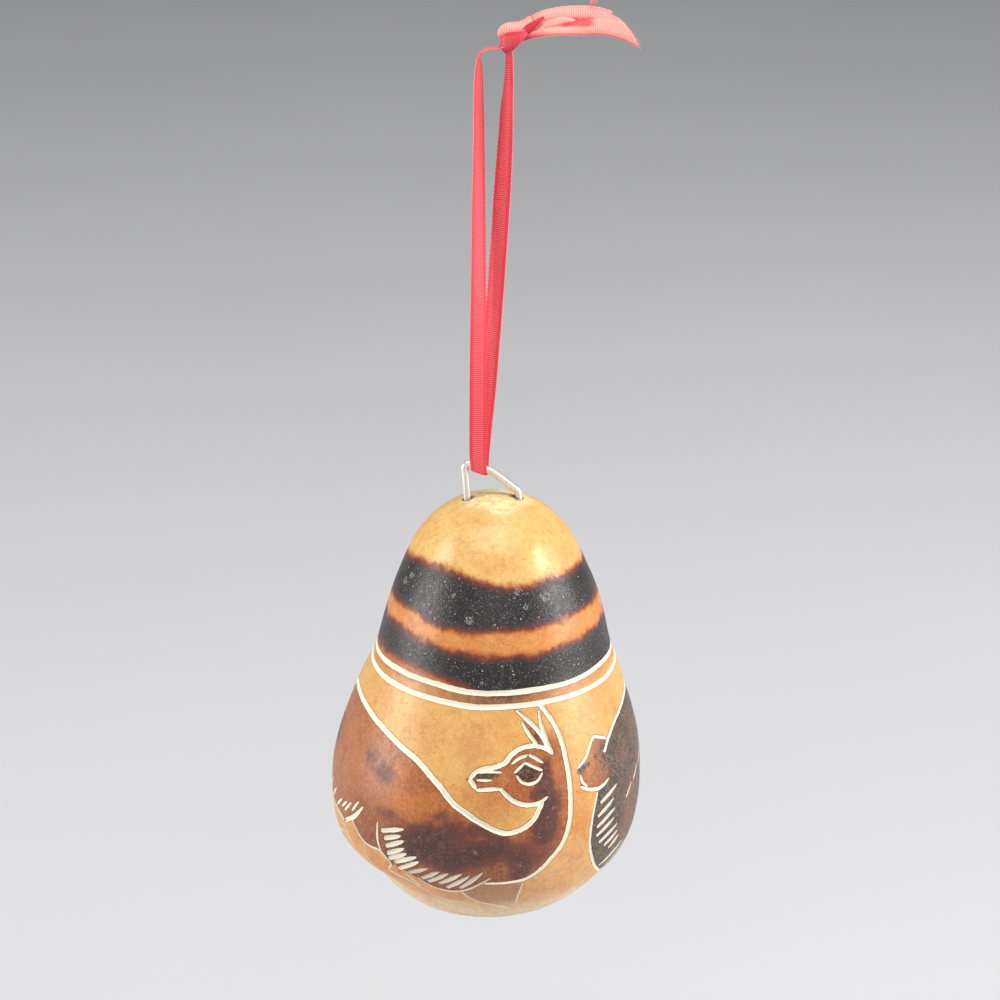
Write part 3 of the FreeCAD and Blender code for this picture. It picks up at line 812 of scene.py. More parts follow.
print("gourd mesh: %d points, %d faces, %d carved" % (len(FINAL), len(faces), carved.sum()))


# ---------------------------------------------------------------- the painting and burning
def inside(poly, phi_deg, th_deg):
    """Which points lie in a closed outline given in degrees."""
    p = np.asarray(poly, float)
    mid = 0.5 * (p[:, 0].min() + p[:, 0].max())
    x = (phi_deg - mid + 180) % 360 - 180 + mid
    y = th_deg
    hit = np.zeros(len(x), bool)
    j = len(p) - 1
    for i in range(len(p)):
        xi, yi, xj, yj = p[i, 0], p[i, 1], p[j, 0], p[j, 1]
        if yi != yj:
            cross = ((yi > y) != (yj > y)) & (x < (xj - xi) * (y - yi) / (yj - yi) + xi)
            hit ^= cross
        j = i
    return hit.astype(float)


PD, TD = np.degrees(PHI), np.degrees(THETA)


def blob(p, t, sp, st, k=1.0):
    """A soft patch, k strong at its middle."""
    dx = (PD - p + 180) % 360 - 180
    return k * np.exp(-((dx / sp) ** 2 + ((TD - t) / st) ** 2))


ragged = np.array([n1(p[0] * 0.33, p[1] * 0.33, p[2] * 0.33) for p in POS])
ragged2 = np.array([n1(p[0] * 0.12 + 20, p[1] * 0.12, p[2] * 0.12) for p in POS])

brown_poly = (BACK + JAW[::-1] + [(-6.7, 84.5)] + HEAD_TOP + NECK[3:] + BELLY[::-1] + [(-30.6, 121.0)]
              + LEG_B[:7][::-1] + [(-62.8, 114.4)] + LEG_A[::-1])
ears_poly = [(10.9, 58.8), (15.1, 62.4), (18.6, 65.7), (21.4, 69.6), (21.4, 59.9), (22.8, 69.1), (26.0, 78.1), (20.0, 73.8),
             (16.7, 69.3), (13.3, 63.5), (15.1, 62.4)]
dark_poly = D_BACK + D_LOW[::-1] + D_CHEST[:6][::-1] + D_JAW[::-1][1:] + [(37.5, 89.2), (36.5, 86.3)] + D_HEAD[::-1][1:]
third_poly = T_BACK + moved(JAW[::-1]) + [(-6.7 + SHIFT, 84.5)] + moved(HEAD_TOP) + moved(NECK[3:-1]) + [(171, 122.9)] + T_LOW[::-1]
ear_a = [(13.3, 63.5), (16.7, 69.3), (20.0, 73.8), (25.6, 77.5), (23.6, 73.8), (21.4, 69.6), (18.6, 65.7)]
ear_b = [(21.4, 60.5), (21.4, 64.2), (22.0, 70.0), (23.6, 73.8), (26.0, 78.1), (24.2, 73.9), (22.8, 69.1)]
BROWN = np.maximum(inside(brown_poly, PD, TD), np.maximum(inside(ear_a, PD, TD), inside(ear_b, PD, TD)))
# no line closes the neck between the ear and the neck stroke: the brown fades out there
BROWN = np.maximum(BROWN, inside([(26.0, 78.1), (24.4, 72), (23.2, 66), (24.5, 63), (28.7, 68.8), (30.5, 74.8)], PD, TD)
                   * smooth01((TD - 65) / 10))
DARK = inside(dark_poly, PD, TD)
THIRD = np.maximum(inside(third_poly, PD, TD),
                   np.maximum(inside(moved(ear_a), PD, TD), inside(moved(ear_b), PD, TD)))
D_FACE = inside(D_HEAD + [(54.5, 84), (53, 90), (51.2, 95.2)] + D_JAW[::-1] + [(37.5, 89.2)], PD, TD)


def rgb(r, g, b):
    return np.array(lin(r, g, b)[:3])


def lay(col, fac, colour):
    f = np.clip(fac, 0, 1)[:, None]
    return col * (1 - f) + np.asarray(colour)[None] * f


n_pts = len(POS)
col = np.repeat(rgb(228, 184, 110)[None], n_pts, 0)                    # golden tan
col = lay(col, smooth01((31 - TD) / 9) * 0.92, rgb(234, 198, 124))    # the dome is lighter and yellower
col = lay(col, smooth01((ragged2 + 0.25) / 0.8) * (0.15 + 0.20 * smooth01((TD - 30) / 8)), rgb(218, 156, 84))
col = lay(col, blob(2, 92, 13, 9, 0.8), rgb(196, 120, 56))             # deeper where neck and back meet
col = lay(col, blob(8, 70, 26, 9, 0.55), rgb(222, 160, 84))
col = lay(col, blob(-22, 74, 16, 7, 0.35), rgb(230, 176, 112))
col = lay(col, blob(35, 108, 6, 22, 0.8), rgb(206, 134, 66))           # between the brown and the dark figure
# bands between the burnt rings: orange
orange_zone = smooth01((TD - 31) / 4) * smooth01((45 - TD) / 4)
col = lay(col, orange_zone * 0.95, rgb(218, 144, 72))
col = lay(col, orange_zone * smooth01((ragged + 0.1) / 0.5) * 0.5, rgb(226, 162, 90))
# under the second black band the left side is burnt red-brown
low_left = smooth01((TD - 44) / 3) * smooth01((53.5 - TD) / 1.0)
col = lay(col, low_left * 0.8, rgb(158, 84, 44))
between = smooth01((TD - 51.5) / 1.2) * smooth01((57.5 - TD) / 1.0)
col = lay(col, between * 0.85, rgb(208, 152, 88))
col = lay(col, between * blob(2, 54, 26, 9, 0.9), rgb(112, 68, 42))
col = lay(col, between * blob(8, 53.4, 11, 1.3, 0.8), rgb(52, 30, 22))
col = lay(col, between * blob(38, 56, 22, 4, 0.4), rgb(190, 128, 72))

# the lower part: panels and the pale bottom
low = smooth01((TD - 117) / 6)
col = lay(col, low * 0.6, rgb(220, 162, 102))
panels = inside([(-63.7, 115.5), (-58.4, 121.5), (-50.1, 129.0), (-41.1, 140.3), (-25, 139), (-9.4, 136.5), (-8.9, 126.7),
                 (-18.7, 126.4), (-25.6, 122.8), (-36.6, 120.0), (-46.0, 116.7), (-56.8, 111.3), (-63.0, 114.4)], PD, TD)
col = lay(col, panels * 0.8, rgb(214, 154, 94))
grey_panel = inside([(-8.9, 126.7), (-5.0, 132.2), (2.2, 135.5), (9.6, 139.1), (12.2, 134.9), (13.7, 123.1), (9.7, 122.1),
                     (-0.4, 122.1), (-6.1, 124.8)], PD, TD)
col = lay(col, grey_panel * 0.85, rgb(166, 122, 88))
right_low = inside([(13.7, 123.1), (12.2, 134.9), (14, 141), (44, 136), (46.6, 126.4), (40.6, 114.0), (31.3, 108),
                    (24.0, 116.2)], PD, TD)
col = lay(col, right_low * 0.7, rgb(218, 170, 114))
bottom = smooth01((TD + 2.5 * ragged - 131) / 12)
col = lay(col, bottom * 0.9, rgb(236, 220, 192))

# brown figure
b0 = np.repeat(rgb(164, 90, 42)[None], n_pts, 0)
# painted sheen: the left side of the brown figure is coloured lighter and pinker where the side light glances off it
b0 = lay(b0, blob(-84, 86, 22, 18, 0.7), rgb(170, 100, 62))
b0 = lay(b0, blob(-62, 92, 12, 10, 0.5), rgb(178, 106, 58))
for p_, t_, sp_, st_, k_ in [(-30.1, 97.1, 10.0, 4.6, 0.95), (-33.9, 86.0, 5.0, 3.6, 0.7), (-19.9, 93.2, 5.5, 2.6, 0.6),
                             (28.6, 117.1, 3.0, 4.2, 0.7), (27.3, 83.6, 2.4, 6.0, 0.5), (6.7, 84.8, 4.6, 3.2, 0.5),
                             (-39.9, 71.2, 7.0, 4.4, 0.55), (-55.5, 70.0, 9.0, 5.0, 0.4)]:
    b0 = lay(b0, blob(p_, t_, sp_, st_, k_), rgb(200, 122, 52))
# more painted sheen on the left side of the brown figure
b0 = lay(b0, blob(-62, 90, 15, 16, 0.6), rgb(188, 122, 76))
b0 = lay(b0, smooth01((TD - 101) / 12) * 0.55 * smooth01((PD + 66) / 24), rgb(116, 58, 38))
b0 = lay(b0, blob(-52, 104, 12, 7, 0.4), rgb(134, 74, 42))
b0 = lay(b0, blob(12, 118, 16, 4, 0.5), rgb(140, 76, 42))
col = lay(col, BROWN, np.zeros(3))
col = col + b0 * BROWN[:, None]

# dark figure
d0 = np.repeat(rgb(50, 38, 40)[None], n_pts, 0)
for p_, t_, sp_, st_, k_ in [(69.6, 105.0, 7.1, 4.2, 0.85), (65.2, 113.5, 7.0, 4.5, 0.8), (61.8, 119.1, 7.1, 4.4, 0.6),
                             (64.0, 90.0, 5.4, 3.4, 0.6), (77.8, 84.2, 6.7, 4.1, 0.5), (84, 96, 9, 6, 0.5), (96, 106, 10, 8, 0.6),
                             (108, 112, 10, 9, 0.6), (112, 92, 8, 9, 0.5), (122, 104, 7, 12, 0.6), (100, 82, 9, 5, 0.4)]:
    d0 = lay(d0, blob(p_, t_, sp_, st_, k_), rgb(122, 62, 42))
d0 = lay(d0, D_FACE * 0.95, rgb(170, 98, 46))
d0 = lay(d0, D_FACE * blob(52, 87, 5, 8, 0.95), rgb(44, 26, 24))
d0 = lay(d0, D_FACE * blob(42, 86, 3.6, 4, 0.6), rgb(200, 124, 60))
col = lay(col, DARK, np.zeros(3))
col = col + d0 * DARK[:, None]

# third figure
t0 = np.repeat(rgb(172, 98, 48)[None], n_pts, 0)
t0 = lay(t0, smooth01((TD - 100) / 14) * 0.6, rgb(124, 66, 40))
t0 = lay(t0, blob(150, 92, 8, 8, 0.6), rgb(194, 120, 64))
col = lay(col, THIRD, np.zeros(3))
col = col + t0 * THIRD[:, None]

# eyes, nostril and mouth: filled in black with the burning point
for s_ in (0.0, SHIFT):
    for poly in ([(10.6, 83.2), (14.4, 79.6), (21.0, 83.6), (18.9, 86.6), (16.1, 87.0), (12.9, 86.0)],
                 [(-4.2, 81.7), (-1, 80.8), (3, 80.6), (5.5, 81.8), (0.5, 81.3)],
                 [(-4.4, 82.4), (0.5, 82.0), (4.6, 82.6), (1.6, 84.4), (-3.9, 84.3)]):
        col = lay(col, 0.92 * inside([(a + s_, b) for a, b in poly], PD, TD), rgb(42, 24, 22))
# stem scar
col = lay(col, SCAR * 0.8, rgb(226, 208, 150))
col = lay(col, blob(-16, 11.0, 30, 2.6, 0.4) * (1 - 0.6 * SCAR), rgb(220, 158, 82))

BURNT = [(-50.3, 85.6, 5.6, 4.6, 0.40), (-40.8, 89.2, 5.8, 3.8, 0.43), (-62.2, 81.4, 4.3, 3.1, 0.25), (-38.4, 101.9, 6.4, 2.5, 0.42),
         (-20.5, 108.0, 6.1, 4.6, 1.0), (-26.7, 111.5, 3.2, 4.3, 0.9), (-17.9, 111.2, 5.2, 3.6, 0.9), (-11.5, 103.7, 4.7, 3.1, 0.55),
         (-12.2, 114.0, 5.0, 3.7, 0.75), (-3.3, 111.0, 5.5, 3.6, 0.8), (4.3, 108.6, 4.2, 3.1, 0.8), (12.4, 114.4, 3.3, 4.5, 0.7),
         (12.6, 119.5, 3.3, 2.4, 0.5), (21.4, 103.5, 3.9, 4.2, 0.95), (22.7, 96.1, 3.5, 4.2, 0.85), (21.9, 88.7, 2.7, 4.9, 0.75),
         (22.7, 82.3, 2.0, 3.3, 0.6), (17.5, 91.6, 2.3, 1.8, 0.5), (-1.8, 102.5, 6.2, 2.5, 0.5), (-16.3, 98.0, 4.0, 2.4, 0.4),
         (-8.9, 98.3, 2.8, 2.1, 0.3), (20.0, 113.6, 3.8, 3.3, 0.3), (27.7, 93.7, 1.7, 7.8, 0.25), (-33.4, 108.6, 3.5, 4.3, 0.35),
         (-8, 109.5, 17, 7.5, 0.36), (14, 112, 10, 7, 0.34), (-30, 109.5, 9, 5.5, 0.34), (22, 92, 5, 13, 0.34), (-44, 87.5, 11, 7, 0.19),
         (-71, 94, 6, 6, 0.3), (-88, 90, 8, 7, 0.5), (-100, 96, 8, 7, 0.75), (-112, 88, 8, 8, 0.5), (-116, 102, 8, 6, 0.7),
         (-96, 106, 12, 4, 0.5), (-106, 80, 8, 5, 0.4)]
BURN = np.zeros(n_pts)
for args in BURNT:
    one = blob(args[0], args[1], args[2] * 1.25, args[3] * 1.25, args[4])
    BURN = np.maximum(BURN, one) + 0.45 * np.minimum(BURN, one)
BURN = np.clip(BURN, 0, 0.98)
BURN *= BROWN
BURN += (blob(24.0 + SHIFT, 88, 5.5, 9, 0.8) + blob(21.8 + SHIFT, 104, 7, 7, 0.8) + blob(148, 104, 8, 8, 0.75)
         + blob(165, 106, 12, 6, 0.6) + blob(180, 112, 14, 5, 0.6) + blob(155, 90, 6, 6, 0.35)) * THIRD
BURN += (blob(24.4, 70, 2.2, 5, 0.5) + blob(19.5, 70, 2.0, 3, 0.5)) * BROWN

# signed distance in mm into the nearest black band, positive inside
arc = arc_of(THETA)


def line_arc(band):
    return arc_of(np.radians(around(band[0], band[1], PD)))


drift = 0.55 * ragged + 0.35 * np.array([n1(p[0] * 0.8, p[1] * 0.8, p[2] * 0.8 + 40) for p in POS])
in1 = np.minimum(arc - line_arc(BAND_1T), line_arc(BAND_1B) - arc)
ring_cut = (line_arc(RING_1) - arc) * 3.0 + 0.6      # the ring ends the second band sharply
in2 = np.minimum(np.minimum(arc - line_arc(BAND_2T), line_arc(BAND_2B) - arc), ring_cut)
BAND = np.maximum(in1, in2) + drift - 0.40
BAND = np.where(arc > line_arc(RING_1) + 0.3, -4.0, BAND)
BAND = np.clip(BAND, -4.0, 4.0)

EDGE = np.exp(-(np.clip(OUTD, 0, None) / 0.15) ** 2) * ES * (OUTD < 1.0)
GRIME = GR.copy()

PALE = (blob(-39.9, 18.6, 11, 4.2, 0.9) + blob(35.8, 20.4, 7.5, 3.6, 0.9) + blob(8, 12.5, 24, 3.0, 0.35) + blob(-20, 14, 9, 2.5, 0.4)
        + blob(150, 19, 14, 4, 0.7) + blob(-118, 20, 12, 4, 0.6) + blob(96, 17, 10, 3.5, 0.5))

skin_mat = Nodes("gourd_skin_burnt")
m = skin_mat
fine = m.noise(3.2, 3.0, 0.6)
grain = m.noise(7.5, 2.0, 0.6)
mid = m.noise(0.85, 4.0, 0.6)
blotch = m.noise(0.36, 4.0, 0.62, distortion=0.9)
slow = m.noise(0.16, 3.0, 0.55)
base_c = m.attr("paint", "Color")
# the tan skin: slow mottling, thin yellow veins, fine pores and rubbed-in grain
mott = m.mix(m.span(slow, 0.35, 0.68, 0.0, 0.30), base_c, m.mix(1.0, base_c, lin(222, 160, 108), "MULTIPLY"))
mott = m.mix(m.span(mid, 0.42, 0.72, 0.0, 0.32), mott, m.mix(1.0, mott, lin(214, 172, 136), "MULTIPLY"))
mott = m.mix(m.span(blotch, 0.50, 0.66, 0.0, 0.40), mott, m.mix(1.0, mott, lin(255, 238, 190), "MULTIPLY"))
mott = m.mix(m.span(blotch, 0.46, 0.34, 0.0, 0.24), mott, m.mix(1.0, mott, lin(222, 176, 140), "MULTIPLY"))
vein = m.span(m.math("ABSOLUTE", m.math("SUBTRACT", m.noise(0.62, 3.0, 0.6, distortion=1.3), 0.5)), 0.0, 0.045, 1.0, 0.0)
vein2 = m.span(m.math("ABSOLUTE", m.math("SUBTRACT", m.noise(1.3, 3.0, 0.6, distortion=1.0), 0.5)), 0.0, 0.05, 1.0, 0.0)
mott = m.mix(m.math("MULTIPLY", vein, 0.34), mott, m.mix(0.5, mott, lin(244, 214, 138)))
mott = m.mix(m.math("MULTIPLY", vein2, 0.20), mott, m.mix(1.0, mott, lin(222, 184, 150), "MULTIPLY"))
mott = m.mix(m.span(grain, 0.40, 0.62, 0.30, 0.0), mott, m.mix(1.0, mott, lin(196, 156, 120), "MULTIPLY"))
mott = m.mix(m.span(fine, 0.52, 0.76, 0.0, 0.24), mott, lin(250, 216, 156))
pore_pick = m.span(m.cells(1.05, "Color"), 0.62, 0.70, 0.0, 1.0)
pores = m.math("MULTIPLY", m.span(m.cells(1.05), 0.10, 0.17, 1.0, 0.0), pore_pick)
mott = m.mix(m.math("MULTIPLY", pores, 0.75), mott, lin(116, 70, 40))
pore2 = m.math("MULTIPLY", m.span(m.cells(2.3), 0.10, 0.2, 1.0, 0.0), m.span(m.cells(2.3, "Color"), 0.62, 0.72, 0.0, 1.0))
mott = m.mix(m.math("MULTIPLY", pore2, 0.5), mott, lin(146, 90, 48))
# rubbed, pitted pale patches on the dome and the scar of the stem
pale = m.attr("pale")
pale_n = m.span(m.math("ADD", pale, m.math("MULTIPLY", m.math("SUBTRACT", fine, 0.5), 1.2)), 0.25, 0.9)
mott = m.mix(m.math("MULTIPLY", pale_n, 0.55), mott, lin(246, 226, 172))
scar = m.attr("scar")
scar_c = m.mix(m.span(m.noise(0.55, 3.0, 0.6), 0.38, 0.66), lin(234, 220, 168), lin(222, 190, 122))
mott = m.mix(m.math("MULTIPLY", m.span(m.math("ADD", scar, m.math("MULTIPLY", m.math("SUBTRACT", mid, 0.5), 1.1)), 0.15, 0.85), 0.85), mott, scar_c)
pit = m.math("MULTIPLY", m.span(m.noise(2.5, 2.0, 0.75), 0.60, 0.67), m.math("MAXIMUM", m.math("MULTIPLY", pale_n, 0.5), scar, clamp=True))
mott = m.mix(m.math("MULTIPLY", pit, 0.62), mott, lin(126, 118, 78))
# scorched patches inside the figures
burn = m.attr("burn")
burn_n = m.math("ADD", m.math("MULTIPLY", burn, 1.25), m.math("ADD", m.math("MULTIPLY", m.math("SUBTRACT", blotch, 0.5), 0.7),
                                  m.math("ADD", m.math("MULTIPLY", m.math("SUBTRACT", mid, 0.5), 1.0),
                                         m.math("MULTIPLY", m.math("SUBTRACT", fine, 0.5), 0.40))))
burn_f = m.math("MULTIPLY", m.span(burn_n, -0.05, 1.25, smooth=False), m.span(burn, 0.0, 0.5))
c = m.mix(m.span(burn_f, 0.0, 0.6, 0.0, 0.93), mott, m.ramp(burn_f, [(0.0, lin(146, 80, 46)), (0.28, lin(116, 60, 46)),
                                                       (0.55, lin(92, 42, 34)), (0.82, lin(68, 33, 28)), (1.0, lin(53, 27, 24))]))
c = m.mix(m.math("MULTIPLY", m.span(mid, 0.48, 0.66, 0.0, 0.55), burn_f), c, lin(124, 74, 58))
c = m.mix(m.math("MULTIPLY", m.span(fine, 0.54, 0.74, 0.0, 0.5), burn_f), c, lin(138, 100, 92))
# black bands with a grainy, red-brown scorched edge
band = m.attr("band")
band_n = m.math("ADD", band, m.math("ADD", m.math("MULTIPLY", m.math("SUBTRACT", fine, 0.5), 0.9),
                                    m.math("ADD", m.math("MULTIPLY", m.math("SUBTRACT", grain, 0.5), 0.9),
                                           m.math("MULTIPLY", m.math("SUBTRACT", mid, 0.5), 1.5))))
scorch_f = m.span(band_n, -2.1, -0.5)
c = m.mix(scorch_f, c, m.ramp(m.span(band_n, -2.1, 1.5, smooth=False), [
    (0.0, lin(214, 132, 60)), (0.18, lin(184, 96, 40)), (0.36, lin(132, 58, 28)), (0.54, lin(82, 36, 26)), (0.72, lin(42, 24, 23)),
    (0.88, lin(24, 17, 19)), (1.0, lin(17, 13, 16))]))
black = m.span(band_n, -0.9, 0.9)
dark = m.math("MAXIMUM", black, m.math("MAXIMUM", m.math("MULTIPLY", m.span(burn_f, 0.35, 0.9), 0.45), m.attr("soot")))
# dust and pits in the black
c = m.mix(m.math("MULTIPLY", black, m.span(blotch, 0.42, 0.68, 0.0, 0.34)), c, lin(48, 38, 40))
c = m.mix(m.math("MULTIPLY", dark, m.span(grain, 0.52, 0.72, 0.0, 0.30)), c, lin(100, 90, 90))
dust = m.math("MULTIPLY", m.span(m.noise(4.6, 2.0, 0.75), 0.585, 0.66), dark)
c = m.mix(m.math("MULTIPLY", dust, 0.46), c, lin(158, 148, 146))
speck = m.math("MULTIPLY", m.span(m.cells(2.1), 0.13, 0.20, 1.0, 0.0), m.span(m.cells(2.1, "Color"), 0.46, 0.52))
fleck = m.math("MULTIPLY", m.span(m.cells(0.95), 0.10, 0.16, 1.0, 0.0), m.span(m.cells(0.95, "Color"), 0.56, 0.60))
c = m.mix(m.math("MULTIPLY", m.math("MAXIMUM", m.math("MULTIPLY", speck, 0.6), m.math("MULTIPLY", fleck, 0.8)), dark), c, lin(206, 198, 192))
# a few small burst blisters, each a pale ring
rings = None
for at, r_ in (((-3.78, -18.38, -97.37), 0.66), ((4.88, -16.42, -92.51), 0.56), ((6.42, -17.2, -95.31), 0.40), ((-6.69, -15.78, -93.66), 0.34),
               ((-15.79, -6.61, -94.52), 0.66), ((-14.53, -7.8, -92.95), 0.5), ((10.19, -14.92, -94.21), 0.75), ((9.3, -15.5, -93.9), 0.45),
               ((13.19, -11.37, -92.37), 0.42), ((-1.55, -21.9, -108.27), 0.30), ((-2.58, -30.32, -138.56), 0.32), ((11.55, -27.01, -131.24), 0.26),
               ((14.6, 9.2, -95.6), 0.5), ((-6.0, 16.6, -95.0), 0.6), ((3.0, 20.6, -104.6), 0.4)):
    dn = m.t.nodes.new("ShaderNodeVectorMath")
    dn.operation = "DISTANCE"
    m.t.links.new(m.pos(), dn.inputs[0])
    dn.inputs[1].default_value = at
    dd_ = m.math("ADD", dn.outputs["Value"], m.math("MULTIPLY", m.math("SUBTRACT", m.noise(1.6, 3.0, 0.7), 0.5), 2.6 * r_))
    one = m.math("MULTIPLY", m.span(dd_, 0.30 * r_, 0.75 * r_, 0.25, 1.0), m.span(dd_, 0.95 * r_, 1.25 * r_, 1.0, 0.0))
    rings = one if rings is None else m.math("MAXIMUM", rings, one)
c = m.mix(m.math("MULTIPLY", rings, m.span(grain, 0.35, 0.62, 0.06, 0.5)), c, lin(190, 180, 172))
# a thin dark line beside the grooves
edge_n = m.math("MULTIPLY", m.attr("edge"), m.span(m.noise(2.4, 2.0, 0.6), 0.25, 0.62, 0.35, 1.0))
c = m.mix(m.math("MULTIPLY", m.span(edge_n, 0.05, 0.75), 0.82), c, lin(54, 28, 20))
# painted shade round the rim of each drilled hole
c = m.mix(m.attr("hole"), c, lin(96, 62, 30))
rough = m.math("ADD", m.span(mid, 0.3, 0.7, 0.33, 0.45), m.math("MULTIPLY", scar, 0.25))
rough = m.math("ADD", rough, m.math("MULTIPLY", m.span(m.math("MAXIMUM", dust, speck), 0.2, 0.8), 0.2))
pebble = m.cells(1.9)
h = m.math("ADD", m.math("MULTIPLY", fine, 0.7), m.math("MULTIPLY", grain, 0.35))
h = m.math("ADD", h, m.math("MULTIPLY", pebble, m.span(dark, 0.0, 1.0, 0.22, 0.9)))
h = m.math("SUBTRACT", h, m.math("MULTIPLY", pores, 0.9))
h = m.math("ADD", h, m.math("MULTIPLY", rings, 1.2))
h = m.math("SUBTRACT", h, m.math("MULTIPLY", pit, 1.2))
h = m.math("ADD", h, m.math("MULTIPLY", scar, m.math("MULTIPLY", m.noise(1.8, 4.0, 0.65), 3.0)))
m.shader(Base_Color=c, Roughness=rough, Normal=m.bump(h, 0.060, 0.65))
m.bsdf.inputs["Specular IOR Level"].default_value = 0.50

flesh = Nodes("gourd_flesh_cut")
m = flesh
fn = m.noise(2.6, 3.0, 0.6)
fg = m.noise(9.0, 2.0, 0.6)
fc = m.mix(m.span(fn, 0.35, 0.7, 0.0, 0.5), lin(247, 239, 219), lin(238, 224, 194))
fc = m.mix(m.span(fg, 0.56, 0.76, 0.0, 0.5), fc, lin(224, 196, 152))
fc = m.mix(m.attr("grime"), fc, m.mix(m.span(fg, 0.4, 0.6), lin(196, 188, 180), lin(142, 130, 122)))
m.shader(Base_Color=fc, Roughness=0.78, Normal=m.bump(fg, 0.06, 0.7))
m.bsdf.inputs["Specular IOR Level"].default_value = 0.3

# painted shade: the shallow dimple of each drilled hole is coloured near black, the dark of the opening into the hollow
hole_shade = Nodes("gourd_hole_dark")
m = hole_shade
m.shader(Base_Color=m.mix(m.noise(3.0, 2.0), lin(84, 56, 30), lin(40, 26, 16)), Roughness=0.9)

gourd = mesh_object("gourd_skin_carved", FINAL, faces, [skin_mat.mat, flesh.mat, hole_shade.mat])
gm = gourd.data
put_colour(gm, "paint", col)
put_float(gm, "burn", np.clip(BURN, 0, 1.2))
put_float(gm, "band", BAND)
put_float(gm, "edge", EDGE)
put_float(gm, "scar", SCAR)
put_float(gm, "grime", GRIME)
put_float(gm, "hole", HOLE)
put_float(gm, "pale", np.clip(PALE, 0, 1) * (1 - SCAR))
put_float(gm, "soot", np.clip(DARK - 0.9 * D_FACE, 0, 1) * 0.85)
mat_idx = np.where(in_hole, 2, np.where(carved, 1, 0)).astype(np.int32)
gm.polygons.foreach_set("material_index", mat_idx)
# a crisp rim where the gouge leaves the skin
sharp = np.zeros(len(gm.edges), bool)
loop_edge = np.empty(len(gm.loops), np.int32)
gm.loops.foreach_get("edge_index", loop_edge)
starts = np.empty(len(gm.polygons), np.int32)
totals = np.empty(len(gm.polygons), np.int32)
gm.polygons.foreach_get("loop_start", starts)
gm.polygons.foreach_get("loop_total", totals)
face_of_loop = np.repeat(np.arange(len(totals)), totals)
mn = np.full(len(gm.edges), 99)
mx = np.full(len(gm.edges), -1)
np.minimum.at(mn, loop_edge, mat_idx[face_of_loop])
np.maximum.at(mx, loop_edge, mat_idx[face_of_loop])
cnt = np.bincount(loop_edge, minlength=len(gm.edges))
print("open or crowded edges:", int((cnt != 2).sum()))
sharp = mn != mx
sa = gm.attributes.get("sharp_edge") or gm.attributes.new("sharp_edge", "BOOLEAN", "EDGE")
sa.data.foreach_set("value", sharp)
# one map for the bake: the sides unrolled, the two ends as discs
lv = np.empty(len(gm.loops), np.int32)
gm.loops.foreach_get("vertex_index", lv)
uvl = gm.uv_layers.new(name="OFBake")
T0, T1 = 0.24, PI - 0.30
lt = THETA[lv]
fmax = np.full(len(totals), -9.0)
fmin = np.full(len(totals), 9.0)
np.maximum.at(fmax, face_of_loop, lt)
np.minimum.at(fmin, face_of_loop, lt)
kind = np.where(fmax <= T0 + 0.02, 1, np.where(fmin >= T1 - 0.02, 2, 0))[face_of_loop]
lp = PHI[lv].copy()
pmax = np.full(len(totals), -9.0)
np.maximum.at(pmax, face_of_loop, lp)
lp = np.where((pmax[face_of_loop] - lp) > PI, lp + 2 * PI, lp)
A0, A1 = float(arc_of(T0 - 0.03)), float(arc_of(T1 + 0.03))
u = 0.005 + 0.975 * (lp + PI) / (2 * PI)
w = 0.01 + 0.73 * (A1 - arc_of(lt)) / (A1 - A0)
ra = arc_of(lt)
rb = ARC[-1] - arc_of(lt)
sc1, sc2 = 0.115 / float(arc_of(T0 + 0.03)), 0.115 / float(ARC[-1] - arc_of(T1 - 0.03))
u = np.where(kind == 1, 0.13 + ra * sc1 * np.sin(PHI[lv]), np.where(kind == 2, 0.38 + rb * sc2 * np.sin(PHI[lv]), u))
w = np.where(kind == 1, 0.875 - ra * sc1 * np.cos(PHI[lv]), np.where(kind == 2, 0.875 - rb * sc2 * np.cos(PHI[lv]), w))
uvl.data.foreach_set("uv", np.stack([u, w], 1).astype(np.float32).ravel())
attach(gourd, "gourd")
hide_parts("gourd_shell")

# ---------------------------------------------------------------- wire bail and seeds: the CAD pieces, finished
steel = Nodes("bail_wire_steel")
m = steel
draw = m.noise(1.0, 3.0, 0.6, vec=m.stretch(m.pos(), 6.0, 6.0, 0.7))
stain = m.noise(0.9, 3.0, 0.6)
sc_ = m.mix(m.span(draw, 0.3, 0.7), lin(222, 216, 208), lin(240, 236, 230))
sc_ = m.mix(m.span(stain, 0.58, 0.8, 0.0, 0.35), sc_, lin(176, 164, 150))
m.shader(Base_Color=sc_, Metallic=1.0, Roughness=m.span(stain, 0.3, 0.75, 0.42, 0.52), Normal=m.bump(draw, 0.006, 0.4))
husk = Nodes("seed_husk_dry")
m = husk
m.shader(Base_Color=m.mix(m.noise(1.2, 3.0), lin(222, 204, 164), lin(188, 160, 112)), Roughness=0.75,
         Normal=m.bump(m.noise(3.0, 3.0), 0.05, 0.6))
for node, mat, slot in (("wire_bail", steel.mat, "bail_steel"), ("dried_seeds", husk.mat, "seed_husk")):
    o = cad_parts[node]
    o.data.materials.clear()
    o.data.materials.append(mat)

# ---------------------------------------------------------------- the ribbon
ribbon_mat = Nodes("ribbon_grosgrain_red")
m = ribbon_mat
rib = m.attr("rib")        # 0 in the valleys between ribs, 1 on the crests
side = m.attr("across")    # 0 in the middle, 1 at the selvedge
thread = m.noise(9.0, 2.0, 0.6)
tone = m.noise(0.35, 2.0, 0.5)
